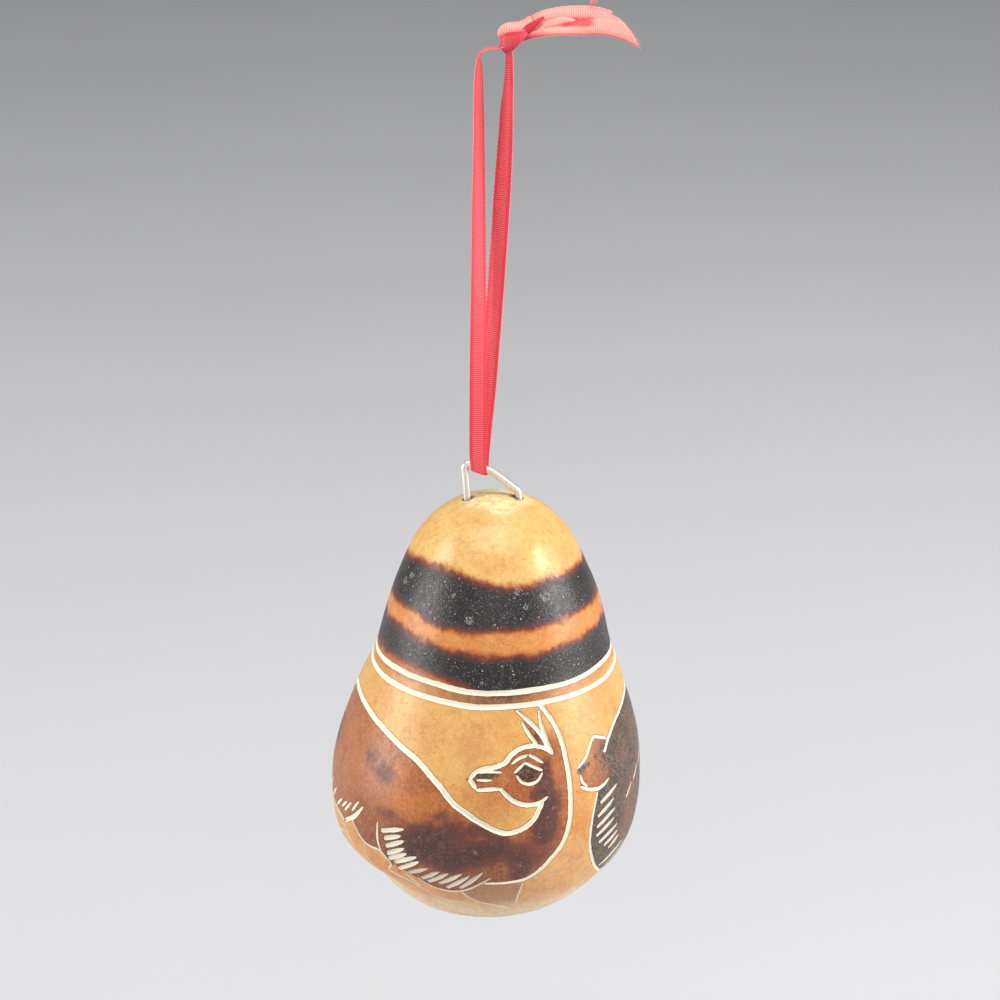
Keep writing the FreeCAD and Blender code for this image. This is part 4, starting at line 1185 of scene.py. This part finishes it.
# painted sheen: the rib crests are coloured lighter pink as a painted highlight, the valleys deeper red as painted
# shade
rc_ = m.mix(m.span(rib, 0.10, 0.90), lin(206, 36, 54), lin(247, 106, 110))
rc_ = m.mix(m.span(side, 0.56, 0.70, 0.0, 0.75), rc_, lin(222, 44, 62))
rc_ = m.mix(m.span(thread, 0.42, 0.72, 0.0, 0.30), rc_, lin(250, 124, 126))
rc_ = m.mix(m.span(tone, 0.35, 0.7, 0.0, 0.22), rc_, lin(234, 62, 80))
# painted light: pale is a painted highlight on faces turned to the light, deep is painted shade in folds and under
# other turns
rc_ = m.mix(m.attr("pale"), rc_, m.mix(m.span(rib, 0.1, 0.9), lin(240, 146, 136), lin(252, 184, 168)))
rc_ = m.mix(m.attr("deep"), rc_, m.mix(m.span(rib, 0.1, 0.9), lin(176, 22, 44), lin(214, 50, 66)))
# a painted highlight along the edge that catches the light
rc_ = m.mix(m.span(side, 0.955, 0.99, 0.0, 0.75), rc_, lin(250, 156, 160))
m.shader(Base_Color=rc_, Roughness=0.55, Normal=m.bump(thread, 0.03, 0.6))
m.bsdf.inputs["Specular IOR Level"].default_value = 0.4
m.bsdf.inputs["Sheen Weight"].default_value = 0.45
m.bsdf.inputs["Sheen Roughness"].default_value = 0.4
m.bsdf.inputs["Sheen Tint"].default_value = lin(255, 190, 190)

RIB = 0.39
W, T = 3.2, 0.45
PER = 4          # rows of points a rib


def tangent_frames(P):
    P = np.asarray(P, float)
    t = np.gradient(P, axis=0)
    return t / np.linalg.norm(t, axis=1, keepdims=True)


def soft(a, k=21):
    """An array smoothed along its first axis."""
    a = np.asarray(a, float)
    pad = np.concatenate([np.repeat(a[:1], k // 2, 0), a, np.repeat(a[-1:], k // 2, 0)])
    ker = np.ones(k) / k
    if a.ndim == 1:
        return np.convolve(pad, ker, mode="valid")
    return np.stack([np.convolve(pad[:, i], ker, mode="valid") for i in range(a.shape[1])], 1)


def ribbon_mesh(P, D, width=None, cup=None, curl=None, end_cut=None, tone=None, square=True, across_n=12,
                quiet=None, picot=0.09, both=True):
    """A grosgrain ribbon along the points P (mm, evenly and closely spaced), D the direction of its
    width at each.  width: its half width there; cup: how far both edges bend off the middle; curl: how
    far the lower half alone bends; tone(share of the length, place across): how much painted highlight and
    how much painted shade; quiet: +1 or -1 where the edge on that side gets no painted highlight."""
    P, D = np.asarray(P, float), np.asarray(D, float)
    n = len(P)
    tt = tangent_frames(P)
    d = np.concatenate([[0], np.cumsum(np.linalg.norm(np.diff(P, axis=0), axis=1))])
    Wd = D
    if square:
        Wd = D - tt * (D * tt).sum(1, keepdims=True)
        Wd = Wd / np.linalg.norm(Wd, axis=1, keepdims=True)
    Nn = np.cross(tt, Wd)
    Nn /= np.linalg.norm(Nn, axis=1, keepdims=True)
    hw = np.full(n, W / 2) if width is None else np.asarray(width) * np.ones(n)
    cp = np.zeros(n) if cup is None else np.asarray(cup) * np.ones(n)
    cl = np.zeros(n) if curl is None else np.asarray(curl) * np.ones(n)
    cs = np.sin(np.linspace(-PI / 2, PI / 2, across_n + 1))
    cs = np.sign(cs) * np.abs(cs) ** 0.9
    crest = 0.5 + 0.5 * np.cos(2 * PI * d / RIB)
    loops = 0.5 + 0.5 * np.cos(PI * d / RIB)
    u = d / d[-1]
    m_ = across_n + 1
    verts, rib_a, side_a, painted_highlight_a, painted_shade_a = [], [], [], [], []
    for face in (1, -1):
        for c_ in cs:
            a = abs(c_)
            body = float(smooth01((0.68 - a) / 0.14))       # 1 in the ribbed middle, 0 in the selvedges
            rise = 0.07 * body + 0.030 * crest * (0.35 + 0.65 * body) + 0.10
            if a > 0.93:
                rise = rise * (1 - 0.75 * float(smooth01((a - 0.93) / 0.07)))
            lip = picot * loops ** 2 * (a > 0.99)
            bend = cp * c_ ** 2 + cl * max(0.0, -c_ - 0.1) ** 1.3
            verts.append(P + Wd * ((hw + lip) * c_)[:, None] + Nn * (face * rise + bend)[:, None])
            rib_a.append(crest * (0.3 + 0.7 * body) + 0.10 * (1 - body))
            side_a.append(np.full(n, a) if quiet is None else np.where(quiet * c_ > 0.9, 0.9, a))
            # painted highlight (pale) and painted shade (deep) for this row, from tone
            pl, dp = (0.0, 0.0) if tone is None else tone(u, c_)
            painted_highlight_a.append(np.ones(n) * pl)
            painted_shade_a.append(np.ones(n) * dp * (1.0 if face > 0 or both else 0.1))
    verts = np.array(verts)                                 # 2*m_, n, 3
    if end_cut is not None:
        # a cut end: each column of threads ends at its own length
        for j in range(2 * m_):
            last = d[-1] - end_cut(cs[j % m_])
            k = np.minimum(d, last)
            for ax_ in range(3):
                verts[j, :, ax_] = np.interp(k, d, verts[j, :, ax_])
    idx = np.arange(2 * m_ * n).reshape(2 * m_, n)
    fs = []
    for j in range(m_ - 1):
        a, b = idx[j], idx[j + 1]
        fs += list(zip(a[:-1], a[1:], b[1:], b[:-1]))
        a, b = idx[m_ + j], idx[m_ + j + 1]
        fs += list(zip(a[:-1], b[:-1], b[1:], a[1:]))
    for j, k in ((0, m_), (m_ - 1, 2 * m_ - 1)):
        a, b = idx[j], idx[k]
        fs += list(zip(a[:-1], b[:-1], b[1:], a[1:])) if j == 0 else list(zip(a[:-1], a[1:], b[1:], b[:-1]))
    for e in (0, n - 1):
        for j in range(m_ - 1):
            q = (idx[j, e], idx[j + 1, e], idx[m_ + j + 1, e], idx[m_ + j, e])
            fs.append(q if e == 0 else q[::-1])
    return verts.reshape(-1, 3), fs, np.concatenate(rib_a), np.concatenate(side_a), np.concatenate(painted_highlight_a), np.concatenate(painted_shade_a)


def ribbon_object(name, parts):
    """parts: list of what ribbon_mesh gives, joined in one object."""
    V_, F_, A_ = [], [], [[], [], [], []]
    o = 0
    for part in parts:
        V_.append(part[0])
        F_ += [tuple(i + o for i in f) for f in part[1]]
        for k in range(4):
            A_[k].append(part[2 + k])
        o += len(part[0])
    ob = mesh_object(name, np.concatenate(V_), F_, [ribbon_mat.mat])
    for k, key in enumerate(("rib", "across", "pale", "deep")):
        put_float(ob.data, key, np.concatenate(A_[k]))
    return ob


def nurbs_points(name, ctrl, res=48):
    """The line of a NURBS spline with these control points (mm), as evaluated points (mm)."""
    cu = bpy.data.curves.new(name, "CURVE")
    cu.dimensions = "3D"
    cu.resolution_u = res
    sp = cu.splines.new("NURBS")
    sp.points.add(len(ctrl) - 1)
    for p, c_ in zip(sp.points, ctrl):
        p.co = (c_[0] * MM, c_[1] * MM, c_[2] * MM, 1.0)
    sp.order_u = 3
    sp.use_endpoint_u = True
    ob = link(name, cu)
    bpy.context.view_layer.update()
    me = bpy.data.meshes.new_from_object(ob)
    pts = np.array([v_.co[:] for v_ in me.vertices]) / MM
    bpy.data.objects.remove(ob)
    bpy.data.meshes.remove(me)
    bpy.data.curves.remove(cu)
    return pts


def even(P, step):
    P = np.asarray(P, float)
    d = np.concatenate([[0], np.cumsum(np.linalg.norm(np.diff(P, axis=0), axis=1))])
    n = max(3, int(round(d[-1] / step)) + 1)
    t = np.linspace(0, d[-1], n)
    return np.stack([np.interp(t, d, P[:, i]) for i in range(3)], 1), t


# the hanging loop: down from the upper bend, under the bail, and up to the knot
LOOP = [(-1.875, 0.0, 0.0), (-1.99, -0.25, -19.0), (-2.19, -0.72, -53.0), (-2.28, -1.0, -71.6), (-2.28, -1.0, -75.38),
        (-2.16, 0.0, -75.43), (-1.96, 1.0, -75.46), (-1.78, 1.0, -71.6), (0.20, 0.78, -53.0), (2.48, 0.28, -19.0),
        (3.02, 0.08, -7.0), (3.10, 0.0, 1.2)]
loop_line = nurbs_points("loop_line", LOOP)
LP, LD = even(loop_line, RIB / PER)
low_i = int(LP[:, 2].argmin())
going_down = np.arange(len(LP)) <= low_i
left_z = [0.0, -1, -3, -7, -14, -24, -39, -50, -58, -66, -72.1]
left_a = [9, 22, 27, 32, 36, 46, 55, 68, 79, 87, 90]
right_z = [1.2, -1, -3, -5.3, -8, -16, -24, -38, -50, -60, -66.6, -70]
right_a = [122, 132, 140, 144, 139, 123, 112, 113, 115, 104, 94, 90]
ang = np.where(going_down, np.interp(-LP[:, 2], -np.array(left_z), left_a), np.interp(-LP[:, 2], -np.array(right_z), right_a))
ang = np.radians(soft(ang, 15))
LDIR = np.stack([np.sin(ang), np.cos(ang), np.zeros(len(LP))], 1)
# at the fold the ribbon lies along the sloping bail: its rows are sheared, its edges stay upright
near_fold = smooth01((-LP[:, 2] - 66.5) / 6.5)
LDIR[:, 2] = -0.355 * near_fold * LDIR[:, 0]
tt = tangent_frames(LP)
square_dir = LDIR - tt * (LDIR * tt).sum(1, keepdims=True)
square_dir /= np.linalg.norm(square_dir, axis=1, keepdims=True)
LDIR = square_dir * (1 - near_fold)[:, None] + LDIR * near_fold[:, None]
up_right = np.interp(-LP[:, 2], [-1.2, 1.0, 3.0, 5.0, 7.5], [0.66, 0.85, 1.18, 1.46, 1.6])
up_left = np.interp(-LP[:, 2], [0.0, 1.5, 4.0], [1.45, 1.55, 1.6])
half = soft(np.where(going_down, up_left, up_right), 9)
gather = np.where(going_down, np.interp(-LP[:, 2], [0, 2, 6, 14], [0.0, -0.10, -0.12, 0.0]), np.interp(-LP[:, 2], [-1.2, 2, 8], [0.55, 0.45, 0.0]))
# beside the corner of the wire the edge is pushed in a little
pushed = np.where(going_down, np.exp(-((LP[:, 2] + 74.4) / 1.1) ** 2), 0.0)
LINE = LP.copy()
LINE[:, 0] += 0.13 * soft(pushed, 9)
half = half - 0.13 * soft(pushed, 9)
calm = 0.10 * np.array([n1(a_ * 0.06, 3.0, 0.0) for a_ in LD])
# a painted highlight runs along the edge of each strand that catches the light; quiet keeps it off the other edge
loop = ribbon_object("ribbon_loop_grosgrain", [ribbon_mesh(LINE, LDIR, width=half, square=False, quiet=np.where(going_down, 1.0, -1.0), picot=0.09 * (1 - near_fold),
                                                           cup=(soft(gather, 25) + calm + 0.08) * (1 - near_fold) * smooth01(LD / 2.0))])
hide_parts("ribbon_left_strand", "ribbon_right_strand", "ribbon_fold")


def spline3(pts, step=RIB / PER):
    """A smooth line through points (mm)."""
    p = np.asarray(pts, float)
    d = np.concatenate([[0], np.cumsum(np.linalg.norm(np.diff(p, axis=0), axis=1))])
    t = np.linspace(0, d[-1], 40 * len(p))
    i = np.clip(np.searchsorted(d, t, side="right") - 1, 0, len(d) - 2)
    h_ = d[i + 1] - d[i]
    s_ = ((t - d[i]) / h_)[:, None]
    g = np.gradient(p, d, axis=0)
    h_ = h_[:, None]
    q = ((2 * s_ ** 3 - 3 * s_ ** 2 + 1) * p[i] + (s_ ** 3 - 2 * s_ ** 2 + s_) * h_ * g[i]
         + (-2 * s_ ** 3 + 3 * s_ ** 2) * p[i + 1] + (s_ ** 3 - s_ ** 2) * h_ * g[i + 1])
    return even(q, step)


def keyed(keys, t):
    """A value or a direction turned smoothly between keys (share of the length, value)."""
    k = np.array([a for a, _ in keys]) * t[-1]
    v_ = np.array([b for _, b in keys], float)
    if v_.ndim == 1:
        return soft(np.interp(t, k, v_), 11)
    out = soft(np.stack([np.interp(t, k, v_[:, i]) for i in range(v_.shape[1])], 1), 11)
    return out / np.linalg.norm(out, axis=1, keepdims=True)


# the upper bend and on into the knot
rm = 1.875
arc_pts = [(-rm, 0.0, -0.03), (-rm, 0.0, 0.0)] + [(-rm * math.cos(math.radians(a)), 0.0, rm * math.sin(math.radians(a))) for a in
                                                 range(6, 91, 6)] + [(1.4, 0.0, rm + 0.05), (3.0, 0.0, rm + 0.35)]
OP, ot = even(arc_pts, RIB / PER)
turn_a = math.radians(float(np.degrees(ang[0])))
over = ribbon_object("ribbon_over_bend", [ribbon_mesh(
    OP, keyed([(0, (math.sin(turn_a), math.cos(turn_a), 0)), (0.12, (math.sin(turn_a), math.cos(turn_a), 0)), (0.5, (0, 1, 0)), (1, (0, 1, 0))], ot),
    width=keyed([(0, float(half[0])), (0.1, float(half[0])), (0.6, 1.5), (1, 1.2)], ot), cup=keyed([(0, 0.0), (0.5, 0.10), (1, 0.2)], ot))])
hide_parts("ribbon_over_hook")

# the knot: turns of the ribbon pulled tight round the rest; the outer turn is a ring whose
# lower edge rises to the right, with a folded edge laid over its top
ring_n = 150
rs_a = np.linspace(0, 2 * PI, ring_n)
share = 0.5 - 0.5 * np.cos(rs_a)
low_x = np.interp(share, [0, 0.18, 0.35, 0.7, 1], [1.95, 2.5, 3.75, 5.5, 6.75])
low_z = np.interp(share, [0, 0.18, 0.35, 0.7, 1], [1.55, 1.10, 1.45, 2.95, 4.15])
top_x = np.interp(share, [0, 0.35, 1], [2.0, 4.2, 7.0])
top_z = np.interp(share, [0, 0.35, 1], [4.7, 5.05, 5.15])
low_x, low_z, top_x, top_z = (soft(np.concatenate([v_[:-1], v_[:-1], v_]), 9)[ring_n - 1:2 * ring_n - 1] for v_ in (low_x, low_z, top_x, top_z))
deep_y = -1.72 * np.sin(rs_a)
ring_c = np.stack([(low_x + top_x) / 2, deep_y, (low_z + top_z) / 2], 1)
ring_d = np.stack([(top_x - low_x) / 2, 0.10 * np.sign(deep_y), (top_z - low_z) / 2], 1)
ring_w = np.linalg.norm(ring_d, axis=1)
RG_t = np.concatenate([[0], np.cumsum(np.linalg.norm(np.diff(ring_c, axis=0), axis=1))])
keep_t = np.arange(0, RG_t[-1], RIB / PER)
RGP = np.stack([np.interp(keep_t, RG_t, ring_c[:, i]) for i in range(3)], 1)
RGD = np.stack([np.interp(keep_t, RG_t, (ring_d / ring_w[:, None])[:, i]) for i in range(3)], 1)
# painted shade over the whole ring, heavier on its lower half, and a painted highlight along its top edge
knot_parts = [ribbon_mesh(RGP, RGD, width=np.interp(keep_t, RG_t, ring_w), cup=-0.42, square=False, across_n=16,
                          tone=lambda u, c_: (0.28 * float(smooth01((c_ - 0.86) / 0.08)), 0.45 + 0.3 * float(smooth01((-0.2 - c_) / 0.5))))]
# the fold over the top: a painted highlight where it faces up to the light, less at its lower edge
FP, ft = spline3([(1.55, 0.75, 4.4), (1.75, 0.25, 5.15), (2.5, -0.35, 5.6), (3.8, -0.55, 5.72), (5.2, -0.5, 5.80), (6.5, -0.2, 6.2), (7.4, 0.15, 6.75)])
knot_parts.append(ribbon_mesh(FP, keyed([(0, (0.5, 0.8, 0.5)), (0.25, (0.1, 0.72, 0.68)), (0.7, (0, 0.66, 0.75)), (1, (-0.35, 0.4, 0.85))], ft),
                              width=keyed([(0, 0.95), (0.35, 1.32), (0.8, 1.2), (1, 1.0)], ft), cup=-0.55, curl=-0.15,
                              tone=lambda u, c_: (0.85 - 0.45 * float(smooth01((-0.72 - c_) / 0.2)), 0.0)))
# the same fold where it comes down at the back, with a weaker painted highlight
BP, bt = spline3([(1.75, 0.55, 4.7), (2.3, 1.0, 5.2), (3.6, 1.2, 5.45), (5.2, 1.15, 5.55), (6.6, 1.0, 5.85), (7.8, 0.9, 6.35)])
knot_parts.append(ribbon_mesh(BP, keyed([(0, (0.3, -0.6, 0.7)), (0.3, (0, -0.62, 0.78)), (0.7, (0, -0.55, 0.83)), (1, (-0.2, -0.3, 0.93))], bt),
                              width=keyed([(0, 0.9), (0.35, 1.3), (0.8, 1.25), (1, 1.0)], bt), cup=0.5, tone=lambda u, c_: (0.45, 0.0)))
# what fills the middle: the turn before it and the end of the right strand, both painted in shade
CP, ct = spline3([(2.3, 0.0, 1.95), (3.0, -0.05, 2.7), (4.0, -0.05, 3.5), (5.1, 0.0, 4.3), (6.9, 0.0, 5.0)])
knot_parts.append(ribbon_mesh(CP, keyed([(0, (0, 1, 0)), (0.5, (-0.3, 1, 0.3)), (1, (-0.2, 0.6, 0.8))], ct),
                              width=keyed([(0, 1.1), (0.5, 1.2), (1, 1.0)], ct), cup=0.5, tone=lambda u, c_: (0.0, 0.6)))
C2, c2 = spline3([(3.10, 0.0, 0.9), (3.12, 0.02, 1.6), (3.4, 0.05, 2.4), (4.3, 0.1, 3.5), (5.8, 0.1, 4.4), (6.9, 0.0, 4.8)])
knot_parts.append(ribbon_mesh(C2, keyed([(0, (math.sin(float(ang[-1])), math.cos(float(ang[-1])), 0)), (0.2, (0.8, -0.6, 0)), (1, (-0.2, -0.6, 0.8))], c2),
                              width=keyed([(0, 0.66), (0.3, 0.85), (0.6, 1.1), (1, 1.0)], c2), cup=keyed([(0, 0.4), (1, -0.3)], c2),
                              tone=lambda u, c_: (0.0, 0.5)))
# the fold between the knot and the tails, turned on edge and in shade
NP, nt = spline3([(5.6, -0.85, 4.75), (6.3, -1.0, 5.15), (7.2, -1.0, 5.8), (8.2, -0.85, 6.55), (9.2, -0.4, 7.25)])
knot_parts.append(ribbon_mesh(NP, keyed([(0, (-0.45, 0.45, 0.75)), (0.5, (-0.7, 0.25, 0.65)), (1, (-0.6, 0.3, 0.7))], nt),
                              width=keyed([(0, 0.85), (0.3, 0.8), (0.7, 0.5), (1, 0.22)], nt), cup=-0.25, tone=lambda u, c_: (0.0, 0.95)))
knot = ribbon_object("ribbon_knot_turns", knot_parts)
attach(knot, "ribbon_loop")
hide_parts("ribbon_knot")


# the two cut tails
def hairs(roots, dirs_, size, seed, thick=0.05):
    """Loose threads: thin tapering three-sided hairs."""
    V_, F_ = [], []
    rs = np.random.RandomState(seed)
    for p, direction in zip(roots, dirs_):
        direction = np.asarray(direction, float)
        direction = direction / np.linalg.norm(direction)
        e1 = np.cross(direction, [0.3, 0.9, 0.1])
        e1 /= np.linalg.norm(e1)
        e2 = np.cross(direction, e1)
        ln = size * (0.35 + 0.65 * rs.rand())
        bend = (rs.rand(3) - 0.5) * 0.9
        k = 6
        o = len(V_)
        for s_ in range(k):
            f = s_ / (k - 1)
            q = np.asarray(p) + direction * ln * f + bend * ln * f * f * 0.6
            rad = thick * (1 - 0.72 * f)
            for e in range(3):
                a = 2 * PI * e / 3
                V_.append(q + e1 * rad * math.cos(a) + e2 * rad * math.sin(a))
        for s_ in range(k - 1):
            for e in range(3):
                F_.append((o + 3 * s_ + e, o + 3 * s_ + (e + 1) % 3, o + 3 * s_ + 3 + (e + 1) % 3, o + 3 * s_ + 3 + e))
        F_.append((o + 2, o + 1, o))
        F_.append((o + 3 * k - 3, o + 3 * k - 2, o + 3 * k - 1))
    V_ = np.array(V_)
    one = np.ones(len(V_))
    return V_, F_, one * 0.9, one * 0.80, one * 0.55, one * 0.0


def tail(name, pts, keys, widths, cups, curls, cut_at, tone, seed, node, extra=()):
    P_, t_ = spline3(pts)
    D_ = keyed(keys, t_)
    w_, c_, l_ = keyed(widths, t_), keyed(cups, t_), keyed(curls, t_)
    part = ribbon_mesh(P_, D_, width=w_, cup=c_, curl=l_, end_cut=cut_at, tone=tone, across_n=16, both=False)
    tt_ = tangent_frames(P_)
    roots, ways = [], []
    rs = np.random.RandomState(seed)
    for i in range(26):
        a = -0.96 + 1.92 * (i + 0.6 * rs.rand()) / 26
        back = cut_at(a)
        j = int(np.clip(np.searchsorted(t_, t_[-1] - back), 0, len(t_) - 1))
        De = D_[j] - tt_[j] * (D_[j] @ tt_[j])
        De /= np.linalg.norm(De)
        Ne = np.cross(tt_[j], De)
        roots.append(P_[j] + De * (w_[j] * a) + Ne * (c_[j] * a * a + l_[j] * max(0.0, -a - 0.1) ** 1.3 + 0.14 * (rs.rand() - 0.5)))
        ways.append(tt_[j] + De * (0.7 * (rs.rand() - 0.5)) + Ne * (0.6 * (rs.rand() - 0.5)))
    parts = [part, hairs(roots, ways, 0.75, seed)] + list(extra)
    ob = ribbon_object(name, parts)
    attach(ob, "ribbon_loop")
    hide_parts(node)
    return ob


rs_ = np.random.RandomState(21)
spike_roots = [(17.2 + 1.1 * rs_.rand(), 1.15 + 0.2 * rs_.rand(), 8.95 + 0.15 * rs_.rand()) for _ in range(16)]
spike_ways = [(0.35 * (rs_.rand() - 0.35), 0.2 * (rs_.rand() - 0.5), 1.0) for _ in range(16)]
spike = hairs(spike_roots, spike_ways, 1.55, 4, 0.075)
# the upper tail: a painted highlight on its face turned up to the light; painted shade near the knot and along the
# lower half where it curls away
upper = tail("ribbon_tail_upper_cut",
             [(5.8, 0.35, 5.2), (6.9, 0.55, 6.0), (9.1, 0.85, 6.95), (11.4, 1.0, 7.35), (14.4, 1.1, 7.55), (16.8, 1.1, 7.5), (18.9, 1.05, 7.1),
              (21.5, 0.9, 6.2)],
             [(0, (0.1, 0.75, 0.65)), (0.15, (-0.35, 0.35, 0.85)), (0.30, (-0.25, 0.30, 0.92)), (0.6, (0, 0.34, 0.94)), (1, (0.25, 0.25, 0.93))],
             [(0, 0.9), (0.15, 1.15), (0.35, 1.4), (0.6, 1.5), (1, 1.6)],
             [(0, -0.4), (0.2, -0.35), (0.5, -0.22), (1, -0.10)], [(0, -0.4), (0.3, -0.4), (0.7, -0.4), (1, -0.2)],
             lambda c_: 0.6 * (0.5 + 0.5 * n1(c_ * 6.3, 5.0, 0.0)) + 0.8 * (1 + c_) / 2,
             lambda u, c_: (np.interp(u, [0, 0.1, 0.25, 1], [0.4, 0.6, 0.95, 0.95]),
                            np.interp(u, [0, 0.06, 0.2, 0.3, 1], [0.4, 0.5, 0.25, 0.0, 0.0]) * float(smooth01((0.3 - c_) / 0.5))
                            + np.interp(u, [0, 0.34, 0.44, 0.70, 0.78], [0, 0, 0.6, 0.6, 0]) * float(smooth01((-0.30 - c_) / 0.22))),
             5, "ribbon_tail_upper", [spike])
# a narrow fold of the same tail, lapped in front of it; a painted highlight on its face, painted shade on its lower
# half near the start
SP_, st_ = spline3([(6.6, -0.5, 4.6), (7.8, -0.45, 5.0), (9.4, -0.35, 5.75), (11.0, -0.2, 6.35), (12.4, 0.0, 6.72), (13.8, 0.28, 6.62), (14.8, 0.5, 6.3)])
middle = ribbon_mesh(SP_, keyed([(0, (0, 0.6, 0.8)), (0.3, (-0.1, 0.5, 0.85)), (1, (0, 0.45, 0.9))], st_),
                     width=keyed([(0, 0.6), (0.25, 0.95), (0.7, 0.8), (1, 0.5)], st_), cup=-0.3, across_n=12,
                     tone=lambda u, c_: (np.interp(u, [0, 0.15, 1], [0.3, 0.9, 0.95]), np.interp(u, [0, 0.1, 0.3, 1], [0.5, 0.5, 0.0, 0.0]) * (c_ < 0)))
# where the light doesn't pale the lower tail, under the upper one
def lit_red(u, c_):
    return np.interp(u, [0, 0.29, 0.34, 0.53, 0.59], [0, 0, 1, 0.95, 0]) * smooth01((c_ - 0.06 + 1.3 * (u - 0.30)) / 0.22)


# the lower tail: a painted highlight on its face; painted shade near the knot, under the upper tail and along its lower
# edge
lower = tail("ribbon_tail_lower_cut",
             [(5.6, -0.45, 4.1), (6.8, -0.75, 4.6), (8.6, -0.95, 4.95), (10.8, -1.0, 5.25), (13.1, -1.05, 5.45), (15.8, -1.1, 5.8),
              (18.9, -1.1, 6.0), (21.6, -1.05, 5.65), (24.4, -0.95, 4.65), (26.7, -0.8, 3.4)],
             [(0, (0.1, 0.75, 0.65)), (0.10, (-0.2, 0.8, 0.55)), (0.25, (0, 0.88, 0.47)), (0.36, (0.05, 0.80, 0.60)), (0.5, (0, 0.40, 0.90)),
              (0.8, (0.1, 0.22, 0.97)), (1, (0.3, 0.20, 0.93))],
             [(0, 0.8), (0.12, 0.9), (0.3, 1.1), (0.45, 1.45), (0.7, 1.7), (1, 1.75)],
             [(0, -0.35), (0.3, -0.3), (0.5, -0.22), (0.8, -0.12), (1, -0.05)], [(0, -0.2), (0.4, -0.2), (0.7, 0.1), (1, 0.15)],
             lambda c_: 0.4 * (0.5 + 0.5 * n1(c_ * 7.3, 9.0, 0.0)) + 5.6 * ((1 + c_) / 2) ** 1.05,
             lambda u, c_: (np.interp(u, [0, 0.08, 0.2, 1], [0.3, 0.6, 0.9, 0.95]) * (1 - 0.35 * float(smooth01((-0.82 - c_) / 0.1)))
                            * (1 - lit_red(u, c_)),
                            np.interp(u, [0, 0.05, 0.16, 0.24, 1], [0.4, 0.5, 0.35, 0.0, 0.0]) * float(smooth01((-0.1 - c_) / 0.5))
                            + 0.25 * lit_red(u, c_) + 0.5 * float(smooth01((-0.80 - c_) / 0.12))),
             9, "ribbon_tail_lower", [middle])

bpy.context.view_layer.update()
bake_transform(loop)
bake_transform(over)
print("loop length mm", LD[-1])

# ---------------------------------------------------------------- floor, light, camera
floor_me = bpy.data.meshes.new("floor")
FZ = -0.262
floor_me.from_pydata([(-9, -9, FZ), (9, -9, FZ), (9, 9, FZ), (-9, 9, FZ)], [], [(0, 1, 2, 3)])
floor = link("floor", floor_me)
fm = Nodes("floor_pale")
m = fm
m.shader(Base_Color=m.mix(m.noise(0.004, 2.0), lin(212, 212, 214), lin(206, 206, 208)), Roughness=0.75)
floor_me.materials.append(fm.mat)

world = bpy.data.worlds.new("studio")
bpy.context.scene.world = world
world.use_nodes = True
bg_ = world.node_tree.nodes["Background"]
bg_.inputs["Color"].default_value = (0.86, 0.87, 0.90, 1.0)
bg_.inputs["Strength"].default_value = 0.26


def area(name, at, look, size, power, colour=(1, 1, 1)):
    li = bpy.data.lights.new(name, "AREA")
    li.shape = "RECTANGLE"
    li.size, li.size_y = size
    li.energy = power
    li.color = colour
    o = bpy.data.objects.new(name, li)
    bpy.context.scene.collection.objects.link(o)
    o.location = at
    o.rotation_euler = (Vector(look) - Vector(at)).to_track_quat("-Z", "Y").to_euler()
    o.visible_camera = False
    return o


area("soft_left", (-1.24, -0.20, 0.045), (0, 0, -0.09), (0.68, 0.60), 10.4, (1.0, 0.985, 0.96))
area("soft_right", (1.22, -0.24, 0.22), (0, 0, -0.09), (0.68, 0.62), 15.5, (1.0, 0.985, 0.96))
area("soft_top", (0.02, -0.17, 0.60), (0, 0, -0.08), (0.34, 0.30), 3.1)
area("soft_front", (0.0, -2.20, 0.75), (0, 0, -0.12), (2.1, 1.16), 11.9)
area("soft_room", (0.0, 1.1, 2.3), (0, 1.1, 0), (4.5, 4.5), 30.0)

cam = bpy.data.cameras.new("camera")
cam.sensor_width = 36.0
cam.sensor_fit = "HORIZONTAL"
cam.lens = 67.2
cam.clip_start = 0.01
cam.clip_end = 50.0
co = bpy.data.objects.new("camera", cam)
bpy.context.scene.collection.objects.link(co)
co.location = (0.0018038, -0.3266977, 0.0445361)
co.rotation_euler = (math.radians(90 - 21.0253), 0.0, 0.0)
bpy.context.scene.camera = co
bpy.context.scene.view_settings.view_transform = "Standard"
bpy.context.scene.view_settings.look = "None"
